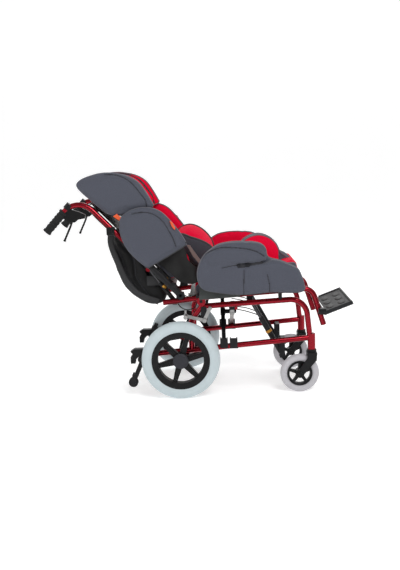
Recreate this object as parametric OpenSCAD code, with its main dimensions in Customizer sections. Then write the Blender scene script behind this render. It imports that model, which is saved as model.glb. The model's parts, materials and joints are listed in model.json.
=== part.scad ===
// Child's folding transit wheelchair with a tilting seat and a reclining back.
// Millimetres, +X forward, +Y to the chair's left, +Z up, floor at Z = 0.
// The side view is laid out from the rear axle at X = 0 and then moved, so that
// the origin is the middle of the chair's outline on the floor.

/* [Frame] */
// Radius of the painted frame tubes
tube_r = 11; // [9:0.5:12]
// Distance from the middle of the chair to each base frame
frame_y = 180; // [175:1:185]
// Distance from the middle of the chair to each seat rail
rail_y = 156; // [154:1:157]
// Distance from the middle of the chair to each back cane
cane_y = 172; // [171:1:174]
// Distance from the middle of the chair to each tilt strut
strut_y = 125; // [118:1:126]

/* [Rear wheels] */
// Outer radius of a rear tyre
rear_r = 152.5; // [145:0.5:153]
// Width of a rear tyre
rear_w = 50; // [40:1:50]
// Distance from the middle of the chair to the middle of a rear tyre
rear_y = 227; // [226:1:232]
// Number of spokes in a rear rim
rear_spokes = 6; // [5:1:8]

/* [Casters] */
// Outer radius of a caster tyre
caster_r = 76; // [70:0.5:78]
// Width of a caster tyre
caster_w = 30; // [24:1:32]
// Number of spokes in a caster rim
caster_spokes = 5; // [4:1:7]

/* [Seating] */
// Half width of the seat and back cushions
cushion_half = 148; // [130:1:148]
// Half width of the fabric slings
sling_half = 158; // [140:1:158]
// Thickness of an arm pad
arm_pad_t = 47; // [35:1:47]
// Thickness of a side support pad
side_pad_t = 26; // [15:1:26]

/* [Hidden] */
$fn = 48;
fit = 0.05;      // radial clearance of a running fit
centre_x = 82.5; // from the rear axle to the middle of the outline
wall = 4;        // bracket plate thickness
seam = 0.5;      // how far a straight tube runs over the start of its elbow

axle = [0, 152.5];
caster_axle = [463, 76];
swivel_x = 511;
tilt_pivot = [85, 373];
recline_pivot = [5, 398];
arm_pivot = [104, 446];
lock_pivot = [95, 300];
strut_foot = [400, 140];
strut_head = [275, 372];
back_strut_foot = [-20, 368];
brace_z = 215;
brace_x = [169, 207];
brace_w = 16;      // width of a brace arm along X
brace_angle = 24;
arm_pad_y = 215;   // inner face of an arm pad
side_pad_y = 186;  // inner face of a side support pad

top_rail = [[97, 353], [489.5, 372], [507, 200]];
upright = [[98, 369], [44, 297], [42, 176]];
bottom_rail = [[-127, 167.1], [503, 216]];
seat_rail = [[-65, 367.5], [120, 386], [517, 408], [562, 262]];
cane = [[5, 398], [-375.6, 793.8], [-430.3, 735.4]];
grip = [[-430.3, 735.4], [-502, 659]];
tip_bar = [[-122, 216], [-184, 76]];
tip_wheel = [-193, 56];
foot_w = 264;      // from the footplate's hinge to the bar of its free edge
foot_cant = 2.6;   // rise of the tread towards its free edge, degrees
foot_hinge = [[551.5, 300.6], [676.7, 346.9]];

// Directions along and square to the back canes, in the side view
along = [-0.6931, 0.7208];
ahead = [0.7208, 0.6931];
back_strut_head = recline_pivot + along * 160 - ahead * 16;

// ---------- geometry helpers ----------
function unit(v) = v / norm(v);
function turn(a, b) = atan2(cross(a, b), a * b);
function trim(p, bends, i) = bends[i - 1] * tan(abs(turn(p[i] - p[i - 1], p[i + 1] - p[i])) / 2);
// Side-view point at a height along the canes and a depth ahead of them
function on_back(u, n) = recline_pivot + along * u + ahead * n;
// Side-view point on the seat rails' straight part, raised by h
function over_rail(x, h) = [x, 386 + (x - 120) * (x < 120 ? 0.1 : 0.0554) + h];

// Moves the rear axle's frame to the chair's own origin
module placed() { translate([-centre_x, 0, 0]) children(); }

// The right half is drawn; the left half is its mirror image
module half(side) {
    placed() {
        if (side == "left") mirror([0, 1, 0]) children();
        else children();
    }
}

// Stands a side-view drawing up at a distance out from the middle, growing outwards
module side(out) { translate([0, -out, 0]) rotate([90, 0, 0]) children(); }

// Round bar in the side view
module bar(a, b, r) {
    translate([a.x, a.y, 0]) rotate([0, 90, atan2(b.y - a.y, b.x - a.x)])
        cylinder(h = norm(b - a), r = r);
}

// Round bar between two points in space
module rod(a, b, r) {
    d = b - a;
    translate(a) rotate([0, acos(d.z / norm(d)), atan2(d.y, d.x)]) cylinder(h = norm(d), r = r);
}

// Round elbow at vertex i of a bent bar
module elbow(p, bends, i, r) {
    before = unit(p[i] - p[i - 1]);
    after = unit(p[i + 1] - p[i]);
    sweep = turn(before, after);
    inward = sign(sweep) * [-before.y, before.x];
    start = p[i] - before * trim(p, bends, i);
    centre = start + inward * bends[i - 1];
    first = atan2(start.y - centre.y, start.x - centre.x);
    translate([centre.x, centre.y, 0]) rotate([0, 0, sweep > 0 ? first : first + sweep])
        rotate_extrude(angle = abs(sweep)) translate([bends[i - 1], 0]) circle(r = r);
}

// Tube bent in the side view through points p with bend radii at its inner points
module bent_bar(p, bends, r) {
    last = len(p) - 1;
    for (i = [0:last - 1]) {
        way = unit(p[i + 1] - p[i]);
        bar(p[i] + way * (i == 0 ? 0 : trim(p, bends, i) - seam),
            p[i + 1] - way * (i == last - 1 ? 0 : trim(p, bends, i + 1) - seam), r);
    }
    for (i = [1:last - 1]) elbow(p, bends, i, r - seam / 10);
}

// Pin through the side view at point p, from one distance out to another
module pin(p, from, to, r) { side(from) translate([p.x, p.y, 0]) cylinder(h = to - from, r = r); }

// Plate with a side-view outline, from one distance out to another
module plate(points, from, to) { side(from) linear_extrude(height = to - from) polygon(points); }

// Box given by its side-view corners and its distances out
module block(low, high, from, to) {
    translate([low.x, -to, low.y]) cube([high.x - low.x, to - from, high.y - low.y]);
}

// Straight side-view strap of a width between two points, with round ends
module strap(a, b, w) {
    translate(a) circle(r = w / 2);
    translate(b) circle(r = w / 2);
    translate(a) rotate(atan2(b.y - a.y, b.x - a.x)) translate([0, -w / 2]) square([norm(b - a), w]);
}

// ---------- base frame ----------
module side_frame() {
    color("firebrick") difference() {
        union() {
            side(frame_y) {
                bent_bar(top_rail, [65], tube_r);
                bent_bar(upright, [40], tube_r);
                bar(bottom_rail[0], bottom_rail[1], tube_r);
            }
            // caster housing and its cap
            translate([swivel_x, -frame_y, 170.5]) cylinder(h = 62.5, r = 15);
            // axle plate under the bottom rail
            plate([[-34, 178], [40, 183], [20, 142], [-20, 142]], frame_y - 5, frame_y + 5);
            pin(axle, frame_y - 8, frame_y + 12, 14);
            // tilt pivot lug
            pin(tilt_pivot, rail_y + tube_r + 1.5, frame_y + tube_r, 17);
        }
        pin(tilt_pivot, rail_y, frame_y + 30, 6 + fit);
        translate([swivel_x, -frame_y, 160]) cylinder(h = 55, r = 8 + fit);
        pin(axle, frame_y - 20, frame_y + 20, 7);
    }
}

module brace_bracket() {
    for (x = brace_x) {
        for (e = [-1, 1])
            translate([x + e * 13 - 2, -frame_y - 13, 186]) cube([wall, 22, 39]);
        translate([x - 15, -frame_y - 13, 186]) cube([30, 3, 39]);
        translate([x - 15, -frame_y, brace_z]) rotate([0, 90, 0]) cylinder(h = 30, r = 4);
    }
    translate([brace_x[0] - 17, -frame_y - 9, 183]) cube([brace_x[1] - brace_x[0] + 34, 18, 16]);
}

// Open saddle that hangs inside the top rail and carries a brace arm's end
module brace_saddle(x) {
    block([x - 14, 333], [x + 14, 337], 124, 160);
    block([x - 14, 333], [x + 14, 362], 156, 171);
}

module frame_fittings(saddle_x) {
    color("dimgray") {
        // rear axle
        pin(axle, frame_y - 12, 246, 6);
        pin(axle, frame_y - 12, frame_y + 13, 7);
        brace_bracket();
        brace_saddle(saddle_x);
        // wheel lock plate and pivot
        plate([[82, 312], [84, 352], [104, 352], [110, 312], [104, 290], [86, 290]], frame_y + 5, frame_y + 13);
        pin(lock_pivot, frame_y + 5, 206, 4);
        // strut foot bracket from the bottom rail
        block([395, 196], [411, 212], strut_y - 17.5, frame_y);
        for (e = [-1, 1])
            block([389, 128], [411, 212], strut_y + e * 15.5 - 2, strut_y + e * 15.5 + 2);
        pin(strut_foot, strut_y - 17, strut_y + 17, 4);
        difference() {
            // socket of the anti-tip bar
            side(frame_y) bar([-128, 202], [-149, 155], 14);
            side(frame_y) bar(tip_bar[0], tip_bar[1], 9 + fit);
        }
    }
}

module tip_pedal() {
    color("black") plate([[-145, 192], [-184, 192], [-199, 182], [-190, 172], [-199, 160],
                          [-199, 134], [-181, 134], [-178, 150], [-166, 163], [-157.2, 165]],
                         frame_y - 14, frame_y + 14);
}

module antitip_bar() {
    color("black") {
        side(frame_y) bar(tip_bar[0], tip_bar[1], 9);
        for (e = [-1, 1])
            plate([[-176, 90], [-194, 92], [-202, 60], [-196, 48], [-186, 50]],
                  frame_y + e * 13 - 1.5, frame_y + e * 13 + 1.5);
        block([-196, 78], [-176, 88], frame_y - 14, frame_y + 14);
        pin(tip_wheel, frame_y - 14, frame_y + 14, 3);
    }
}

module antitip_roller() {
    color("black") side(frame_y - 11) translate([tip_wheel.x, tip_wheel.y, 0]) difference() {
        rotate_extrude() polygon([[0, 0], [16, 0], [19, 3], [19, 19], [16, 22], [0, 22]]);
        translate([0, 0, -1]) cylinder(h = 24, r = 3 + fit);
    }
}

// ---------- wheels ----------
// Tyre of round section, cut flat where it sits on the rim
module tyre(outer, width, seat) {
    rotate_extrude($fn = 96) difference() {
        translate([outer - width / 2, 0]) circle(r = width / 2);
        translate([0, -width]) square([seat, 2 * width]);
    }
}

// Spoked rim with tapered, ribbed spokes
module rim(outer, inner, half_w, hub_r, hub_half, spokes, first, root_w, tip_w) {
    rotate_extrude($fn = 96) polygon([[inner, -half_w + 3], [outer - 3, -half_w], [outer, -half_w],
                                      [outer, half_w], [outer - 3, half_w], [inner, half_w - 3]]);
    cylinder(h = 2 * hub_half, r = hub_r, center = true);
    for (k = [0:spokes - 1]) rotate(first + k * 360 / spokes) {
        linear_extrude(height = half_w, center = true)
            polygon([[0, -root_w], [inner + 3, -tip_w], [inner + 3, tip_w], [0, root_w]]);
        linear_extrude(height = 2 * half_w - 12, center = true)
            polygon([[0, -tip_w / 2], [inner + 3, -tip_w / 2], [inner + 3, tip_w / 2], [0, tip_w / 2]]);
    }
}

module rear_tyre() {
    color("lightsteelblue") side(rear_y) translate([axle.x, axle.y, 0]) tyre(rear_r, rear_w, 113);
}

module rear_rim() {
    color("black") side(rear_y) translate([axle.x, axle.y, 0]) difference() {
        rim(113, 89, 19, 26, 20, rear_spokes, 13, 15, 8);
        cylinder(h = 80, r = 6 + fit, center = true);
    }
}

module hub_cap() {
    color("dimgray") side(rear_y + 20) translate([axle.x, axle.y, 0])
        rotate_extrude() polygon([[0, 0], [30, 0], [30, 4], [26, 7], [0, 7]]);
}

module caster_fork() {
    color("black") {
        translate([swivel_x, -frame_y, 150]) cylinder(h = 20, r = 19);
        translate([swivel_x, -frame_y, 150]) cylinder(h = 63, r = 8);
        translate([swivel_x - 19, -frame_y - 25, 151]) cube([38, 50, 9]);
        for (e = [-1, 1])
            plate([[swivel_x - 19, 160], [swivel_x + 19, 160], [swivel_x + 17, 130],
                   [caster_axle.x + 10, caster_axle.y - 8], [caster_axle.x - 9, caster_axle.y - 5],
                   [caster_axle.x - 9, caster_axle.y + 9], [swivel_x - 18, 140]],
                  frame_y + e * 22.5 - 2.5, frame_y + e * 22.5 + 2.5);
        pin(caster_axle, frame_y - 28, frame_y + 28, 4);
        for (e = [-1, 1]) pin(caster_axle, frame_y + e * 27 - 2, frame_y + e * 27 + 2, 8);
    }
}

module caster_tyre() {
    color("silver") side(frame_y) translate([caster_axle.x, caster_axle.y, 0])
        tyre(caster_r, caster_w, 49);
}

module caster_rim() {
    color("black") side(frame_y) translate([caster_axle.x, caster_axle.y, 0]) difference() {
        rim(49, 40, 12, 17, 18, caster_spokes, 18, 8, 5);
        cylinder(h = 60, r = 4 + fit, center = true);
    }
}

module wheel_lock_lever() {
    color("gainsboro") {
        side(194) difference() {
            linear_extrude(height = 6) {
                strap(lock_pivot, [24, 319], 13);
                strap(lock_pivot, [119, 348], 13);
                translate(lock_pivot) circle(r = 10);
            }
            translate([lock_pivot.x, lock_pivot.y, -1]) cylinder(h = 8, r = 4 + fit);
        }
        // shoe over the tyre and the hand knob
        pin([24, 321], 194, 240, 8);
        pin([119, 348], 194, 212, 7);
    }
}

// ---------- seat ----------
module seat_rail_tube() {
    color("firebrick") side(rail_y) bent_bar(seat_rail, [300, 45], tube_r);
}

module seat_fittings(side_name) {
    color("black") {
        // tilt pin
        pin(tilt_pivot, rail_y - 8, frame_y + tube_r + 2, 6);
        // recline bracket and pin
        plate([[-16, 372], [26, 376], [18, 408], [-8, 408]], rail_y - 7, rail_y - 1);
        pin(recline_pivot, rail_y - 7, cane_y + tube_r + 2, 6);
        // foot of the recline strut
        block([back_strut_foot.x - 9, 358], [back_strut_foot.x + 9, 374], 144, rail_y);
        pin(back_strut_foot, 127, rail_y - 4, 4);
        // arm pad bracket: bridge, post and hinge pin
        block([66, 391.5], [116, 399], rail_y + 2.5, 213);
        block([94, 391.5], [114, 456], 201, 213);
        pin(arm_pivot, 203, 228, 5);
        // rest on the base frame's top rail
        block([386, 379.4], [398, 398], rail_y - 2, 192);
        // clevis of the tilt strut
        block([264, 397], [286, 405], strut_y - 17.5, rail_y - 4);
        for (e = [-1, 1])
            block([264, 361], [286, 405], strut_y + e * 15.5 - 2, strut_y + e * 15.5 + 2);
        if (side_name == "right") footplate_pin();
        else footplate_rest();
    }
}

// Hinge pin of the footplate, on the right hanger
module footplate_pin() {
    way = unit(foot_hinge[1] - foot_hinge[0]);
    side(rail_y) bar(foot_hinge[0], foot_hinge[0] + way * 60, 4);
}

// Rest under the footplate's free edge, on the left hanger
module footplate_rest() {
    rod([549, -rail_y, 311.5], [590, -103, 311.5], 5);
}

module arm_pad() {
    color("slategray") difference() {
        plate([[75, 470], [76, 500], [92, 542], [125, 580], [165, 600], [210, 606], [265, 606],
               [302, 600], [330, 580], [338, 556], [329, 536], [382, 531], [426, 514], [460, 490],
               [474, 462], [482, 430], [474, 411], [424, 408], [350, 412], [250, 405], [180, 411],
               [110, 424], [84, 440]], arm_pad_y, arm_pad_y + arm_pad_t);
        pin(arm_pivot, arm_pad_y - 1, 230, 5 + fit);
    }
}

module seat_sling() {
    color("black") placed() plate([over_rail(40, 11.6), over_rail(120, 11.6), over_rail(486, 11.6),
                                   over_rail(486, 15.6), over_rail(120, 15.6), over_rail(40, 15.6)],
                                  -sling_half, sling_half);
}

module seat_cushion() {
    color("crimson") placed() plate([over_rail(64, 16), over_rail(120, 16), over_rail(478, 16),
                                     [490, 450], [487, 480], [474, 492], [425, 488], [350, 462],
                                     [270, 444], [180, 438], [76, 438], [62, 424]],
                                    -cushion_half, cushion_half);
}

module pommel() {
    color("crimson") placed() plate([[268, 444.4], [350, 462.5], [425, 488.5], [452, 492], [446, 510],
                                     [417, 540], [402, 568], [368, 594], [324, 606], [284, 600],
                                     [254, 582], [248, 555], [256, 500]], -42, 42);
}

// ---------- struts ----------
module tilt_cylinder() {
    way = unit(strut_head - strut_foot);
    color("black") side(strut_y) difference() {
        union() {
            bar(strut_foot + way * 4, strut_foot + way * 172, 11);
            translate([strut_foot.x, strut_foot.y, -13]) cylinder(h = 26, r = 12);
        }
        bar(strut_foot + way * 30, strut_foot + way * 180, 8 + fit);
        translate([strut_foot.x, strut_foot.y, -14]) cylinder(h = 28, r = 4 + fit);
    }
}

module tilt_rod() {
    way = unit(strut_head - strut_foot);
    color("silver") side(strut_y) {
        bar(strut_foot + way * 40, strut_head - way * 6, 8);
        translate([strut_head.x, strut_head.y, -13]) cylinder(h = 26, r = 10);
    }
}

module recline_cylinder() {
    way = unit(back_strut_head - back_strut_foot);
    color("black") side(134) difference() {
        union() {
            bar(back_strut_foot + way * 4, back_strut_foot + way * 96, 9);
            translate([back_strut_foot.x, back_strut_foot.y, -7]) cylinder(h = 14, r = 10);
        }
        bar(back_strut_foot + way * 20, back_strut_foot + way * 110, 6 + fit);
        translate([back_strut_foot.x, back_strut_foot.y, -8]) cylinder(h = 16, r = 4 + fit);
    }
}

module recline_rod() {
    way = unit(back_strut_head - back_strut_foot);
    color("silver") side(134) {
        bar(back_strut_foot + way * 30, back_strut_head - way * 4, 6);
        translate([back_strut_head.x, back_strut_head.y, -7]) cylinder(h = 14, r = 9);
    }
}

// ---------- back ----------
module back_cane() {
    color("firebrick") difference() {
        union() {
            side(cane_y) bent_bar(cane, [75], tube_r);
            pin(recline_pivot, rail_y + tube_r + 1, cane_y + tube_r, 15);
            // ear of the recline strut
            pin(back_strut_head, 142, cane_y, 9);
        }
        pin(recline_pivot, rail_y, cane_y + 20, 6 + fit);
    }
}

module handle_grip() {
    way = unit(grip[1] - grip[0]);
    color("dimgray") side(cane_y) {
        bar(grip[0] + way * 0.2, grip[1], 15);
        bar(grip[0] + way * 0.2, grip[0] + way * 8, 18);
        bar(grip[1] - way * 7, grip[1], 17);
    }
}

module brake_body() {
    color("black") difference() {
        union() {
            // band round the cane above the grip
            side(cane_y) bar([-405, 762.5], [-421, 745.5], 14.5);
            plate([[-437, 712], [-424, 748], [-403, 744], [-372, 734], [-348, 722], [-352, 708],
                   [-378, 704], [-390, 694], [-404, 694], [-418, 700]], cane_y - 9, cane_y + 9);
        }
        block([-442, 680], [-375, 721], cane_y - 5.5, cane_y + 5.5);
    }
}

module brake_lever() {
    color("black") side(cane_y) {
        translate([-397, 709, -5]) cylinder(h = 10, r = 7);
        bent_bar([[-397, 709], [-408, 680], [-436, 622]], [60], 4);
        bar([-433, 628], [-436, 622], 5);
    }
}

module side_pad() {
    color("slategray") plate([[-218, 690], [-206, 714], [-172, 735], [-134, 744], [-96, 742],
                              [-59, 727], [-29, 698], [14, 643], [41, 596], [-116, 508],
                              [-162, 549], [-199, 597], [-216, 645]],
                             side_pad_y, side_pad_y + side_pad_t);
}

module back_sling() {
    color("black") placed() plate([on_back(40, 11.6), on_back(40, 16), on_back(500, 16),
                                   on_back(500, 11.6)], -sling_half, sling_half);
}

module back_cushion() {
    color("crimson") placed() plate([on_back(64, 16.4), on_back(60, 96), on_back(80, 120),
                                     on_back(200, 126), on_back(316, 120), on_back(332, 96),
                                     on_back(332, 16.4)], -cushion_half, cushion_half);
}

module lumbar_cushion() {
    color("crimson") placed() plate([on_back(84, 120.5), on_back(30, 124), on_back(16, 170),
                                     on_back(24, 208), on_back(60, 226), on_back(112, 228),
                                     on_back(158, 208), on_back(176, 160), on_back(166, 125)],
                                    -122, 122);
}

// Headrest with two side wings
module head_cushion() {
    color("slategray") placed() {
        plate([on_back(340, 62), on_back(340, 108), on_back(520, 118), on_back(548, 100),
               on_back(548, 62)], -152, 152);
        for (e = [-1, 1])
            plate([[-376, 826], [-366, 853], [-313, 872], [-268, 879], [-224, 876], [-174, 861],
                   [-140, 839], [-115, 804], [-96, 769], [-90, 742], [-180, 721], [-243, 716],
                   [-283, 738], [-329, 777]], e * 167 - 16, e * 167 + 16);
    }
}

module head_post() {
    color("black") placed() {
        plate([on_back(380, 18), on_back(380, 24), on_back(540, 24), on_back(540, 18)], -14, 14);
        plate([on_back(440, 24), on_back(440, 61.8), on_back(480, 61.8), on_back(480, 24)], -30, 30);
    }
}

module storage_bag() {
    color("black") placed() plate([[-240, 640], [-272, 606], [-262, 543], [-240, 489], [-218, 438],
                                   [-191, 402], [-147, 369], [-106, 353], [-66, 362], [-58, 398],
                                   [-110, 440], [-135, 485], [-145, 530]], -118, 118);
}

// ---------- folding brace and footplate ----------
// Arm of the scissor brace, from the foot on the right to its free top end
module brace_arm(x, foot_side) {
    reach = 339;
    mid = frame_y / cos(brace_angle);
    translate([x, foot_side * frame_y, brace_z])
        rotate([foot_side < 0 ? brace_angle : 180 - brace_angle, 0, 0]) difference() {
            union() {
                rotate([0, 90, 0]) cylinder(h = 20, r = 9.5, center = true);
                translate([-brace_w / 2, 4, -9]) cube([brace_w, reach - 4, 18]);
                translate([0, mid, 0]) rotate([0, 90, 0]) cylinder(h = brace_w + 4, r = 15, center = true);
            }
            rotate([0, 90, 0]) cylinder(h = 40, r = 4 + fit, center = true);
            if (foot_side > 0)
                translate([0, mid, 0]) rotate([0, 90, 0]) cylinder(h = 60, r = 5 + fit, center = true);
        }
}

module brace_arm_a() {
    mid_z = brace_z + frame_y * tan(brace_angle);
    color("black") placed() {
        brace_arm(brace_x[0], -1);
        // centre bolt and its spacer
        translate([brace_x[0], 0, mid_z]) rotate([0, 90, 0]) cylinder(h = 56, r = 5);
        translate([brace_x[0], 0, mid_z]) rotate([0, 90, 0]) cylinder(h = 27.5, r = 9);
        translate([brace_x[1] + 10.5, 0, mid_z]) rotate([0, 90, 0]) cylinder(h = 6, r = 9);
    }
}

module brace_arm_b() { color("gray") placed() brace_arm(brace_x[1], 1); }

module footplate() {
    way = unit(foot_hinge[1] - foot_hinge[0]);
    color("dimgray") placed() {
        difference() {
            side(rail_y) bar(foot_hinge[0] + way * 13, foot_hinge[1], 8);
            side(rail_y) bar(foot_hinge[0], foot_hinge[0] + way * 62, 4 + fit);
        }
        // tread and the bar of its free edge, raised a little towards the left
        translate([foot_hinge[0].x, -rail_y, foot_hinge[0].y])
            rotate([0, -atan2(way.y, way.x), 0]) rotate([foot_cant, 0, 0]) {
                translate([26, 7, -3]) cube([104, foot_w - 7, 5]);
                translate([34, foot_w, 0]) rotate([0, 90, 0]) cylinder(h = 99, r = 7);
            }
    }
}

// ---------- drawing ----------
half("right") side_frame();  // right_side_frame
half("right") frame_fittings(brace_x[1]);  // right_frame_fittings
half("right") rear_tyre();  // right_rear_tyre
half("right") rear_rim();  // right_rear_rim
half("right") hub_cap();  // right_hub_cap
half("right") caster_fork();  // right_caster_fork
half("right") caster_tyre();  // right_caster_tyre
half("right") caster_rim();  // right_caster_rim
half("right") wheel_lock_lever();  // right_wheel_lock_lever
half("right") antitip_bar();  // right_antitip_bar
half("right") tip_pedal();  // right_tip_pedal
half("right") antitip_roller();  // right_antitip_roller
half("right") seat_rail_tube();  // right_seat_rail
half("right") seat_fittings("right");  // right_seat_fittings
half("right") arm_pad();  // right_arm_pad
half("right") tilt_cylinder();  // right_tilt_cylinder
half("right") tilt_rod();  // right_tilt_rod
half("right") back_cane();  // right_back_cane
half("right") handle_grip();  // right_handle_grip
half("right") brake_body();  // right_brake_body
half("right") brake_lever();  // right_brake_lever
half("right") side_pad();  // right_side_pad
half("right") recline_cylinder();  // right_recline_cylinder
half("right") recline_rod();  // right_recline_rod
half("left") side_frame();  // left_side_frame
half("left") frame_fittings(brace_x[0]);  // left_frame_fittings
half("left") rear_tyre();  // left_rear_tyre
half("left") rear_rim();  // left_rear_rim
half("left") hub_cap();  // left_hub_cap
half("left") caster_fork();  // left_caster_fork
half("left") caster_tyre();  // left_caster_tyre
half("left") caster_rim();  // left_caster_rim
half("left") wheel_lock_lever();  // left_wheel_lock_lever
half("left") antitip_bar();  // left_antitip_bar
half("left") tip_pedal();  // left_tip_pedal
half("left") antitip_roller();  // left_antitip_roller
half("left") seat_rail_tube();  // left_seat_rail
half("left") seat_fittings("left");  // left_seat_fittings
half("left") arm_pad();  // left_arm_pad
half("left") tilt_cylinder();  // left_tilt_cylinder
half("left") tilt_rod();  // left_tilt_rod
half("left") back_cane();  // left_back_cane
half("left") handle_grip();  // left_handle_grip
half("left") brake_body();  // left_brake_body
half("left") brake_lever();  // left_brake_lever
half("left") side_pad();  // left_side_pad
half("left") recline_cylinder();  // left_recline_cylinder
half("left") recline_rod();  // left_recline_rod
brace_arm_a();
brace_arm_b();
footplate();
seat_sling();
seat_cushion();
pommel();
back_sling();
back_cushion();
lumbar_cushion();
head_cushion();
head_post();
storage_bag();
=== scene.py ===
"""Looks of a child's folding transit wheelchair with a tilting seat and a reclining back.

Every soft part is built here from its side outline, filled and puffed; the painted frame,
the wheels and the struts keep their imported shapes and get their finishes.
"""
import json
import logging
import math
from dataclasses import dataclass, field, replace
from enum import Enum
from typing import Any, Callable, Iterable, Optional, Sequence

import bmesh
import bpy
import numpy as np
from mathutils import Matrix, Vector
from mathutils.bvhtree import BVHTree

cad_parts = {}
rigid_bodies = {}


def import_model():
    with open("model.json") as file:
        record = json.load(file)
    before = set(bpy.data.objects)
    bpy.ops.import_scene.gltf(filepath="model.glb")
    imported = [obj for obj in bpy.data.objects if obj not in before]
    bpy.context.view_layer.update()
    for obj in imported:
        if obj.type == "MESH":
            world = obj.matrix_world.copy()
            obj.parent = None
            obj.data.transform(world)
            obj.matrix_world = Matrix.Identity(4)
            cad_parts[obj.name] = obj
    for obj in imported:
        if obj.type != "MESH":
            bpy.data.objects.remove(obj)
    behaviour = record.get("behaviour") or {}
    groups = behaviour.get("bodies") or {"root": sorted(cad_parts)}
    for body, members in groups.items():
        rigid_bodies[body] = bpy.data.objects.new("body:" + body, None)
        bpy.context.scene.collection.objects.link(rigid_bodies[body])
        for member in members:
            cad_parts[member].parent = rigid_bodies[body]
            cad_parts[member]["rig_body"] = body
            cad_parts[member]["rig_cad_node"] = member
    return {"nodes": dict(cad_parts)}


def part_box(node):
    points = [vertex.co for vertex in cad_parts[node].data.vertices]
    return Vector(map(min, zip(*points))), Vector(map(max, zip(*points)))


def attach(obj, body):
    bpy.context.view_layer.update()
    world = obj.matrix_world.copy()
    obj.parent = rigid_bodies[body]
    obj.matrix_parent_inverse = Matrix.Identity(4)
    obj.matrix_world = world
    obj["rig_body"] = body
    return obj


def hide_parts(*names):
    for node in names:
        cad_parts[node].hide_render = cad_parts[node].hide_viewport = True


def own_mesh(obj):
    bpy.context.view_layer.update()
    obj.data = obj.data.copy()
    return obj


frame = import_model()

logging.basicConfig(level=logging.INFO, format="%(message)s")
log = logging.getLogger("chair")

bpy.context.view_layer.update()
MM = 0.001
Pair = tuple[float, float]
Colour = tuple[float, float, float]
Keep = Callable[[Vector], bool]
Lined = Callable[[np.ndarray, np.ndarray], np.ndarray]
SIDEWAYS = Vector((0, 1, 0))
LAST_FRAME = 20
TUBE_SIDES = 8
SHARP = math.radians(40)
STITCH = 5.5
WELT_STANDS = 0.001
THIN_WELT, WELT, WIDE_WELT, FAT_WELT = 0.0022, 0.0028, 0.0034, 0.0042


def middle(node: str, axis: int) -> float:
    """Returns the middle of a CAD node's box along an axis, in metres."""
    low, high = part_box(node)
    return (low[axis] + high[axis]) / 2


AXLE_X = middle("right_rear_tyre", 0)


def spot(x: float, z: float, y: float = 0.0) -> Vector:
    """Places a side-view point.

    Args:
        x: Millimetres forward of the rear axle.
        z: Millimetres above the floor.
        y: Millimetres to the chair's left of its middle.

    Returns:
        The point in the row frame, in metres.
    """
    return Vector((AXLE_X + x * MM, y * MM, z * MM))


class Side(Enum):
    """A side of the chair, with the sign of its Y."""

    RIGHT = -1
    LEFT = 1

    @property
    def word(self) -> str:
        """The word that the side's bodies and nodes start with."""
        return self.name.lower()


# ---------------------------------------------------------------- shader expressions
class Signal:
    """A shader socket that takes part in Python expressions."""

    def __init__(self, graph: "Graph", socket: bpy.types.NodeSocket) -> None:
        """Keeps the graph and the socket."""
        self.graph = graph
        self.socket = socket

    def math(self, operation: str, other: Any = None, swapped: bool = False) -> "Signal":
        """Adds a Math node on this signal.

        Args:
            operation: The Math node's operation.
            other: The second operand, a number or a signal.
            swapped: Puts the other operand first.

        Returns:
            The result as a signal.
        """
        inputs = {0: self} if other is None else {0: self, 1: other}
        if swapped:
            inputs = {0: other, 1: self}
        return self.graph.add("ShaderNodeMath", {"operation": operation}, inputs)

    def __add__(self, other: Any) -> "Signal":
        """Sum."""
        return self.math("ADD", other)

    __radd__ = __add__

    def __sub__(self, other: Any) -> "Signal":
        """Difference."""
        return self.math("SUBTRACT", other)

    def __rsub__(self, other: Any) -> "Signal":
        """Difference, reflected."""
        return self.math("SUBTRACT", other, swapped=True)

    def __mul__(self, other: Any) -> "Signal":
        """Product."""
        return self.math("MULTIPLY", other)

    __rmul__ = __mul__

    def __truediv__(self, other: Any) -> "Signal":
        """Quotient."""
        return self.math("DIVIDE", other)

    def __rtruediv__(self, other: Any) -> "Signal":
        """Quotient, reflected."""
        return self.math("DIVIDE", other, swapped=True)

    def above(self, low: float, high: float) -> "Signal":
        """Returns 0 below low, 1 above high, and a ramp between them."""
        return ((self - low) / (high - low)).math("MAXIMUM", 0.0).math("MINIMUM", 1.0)


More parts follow.
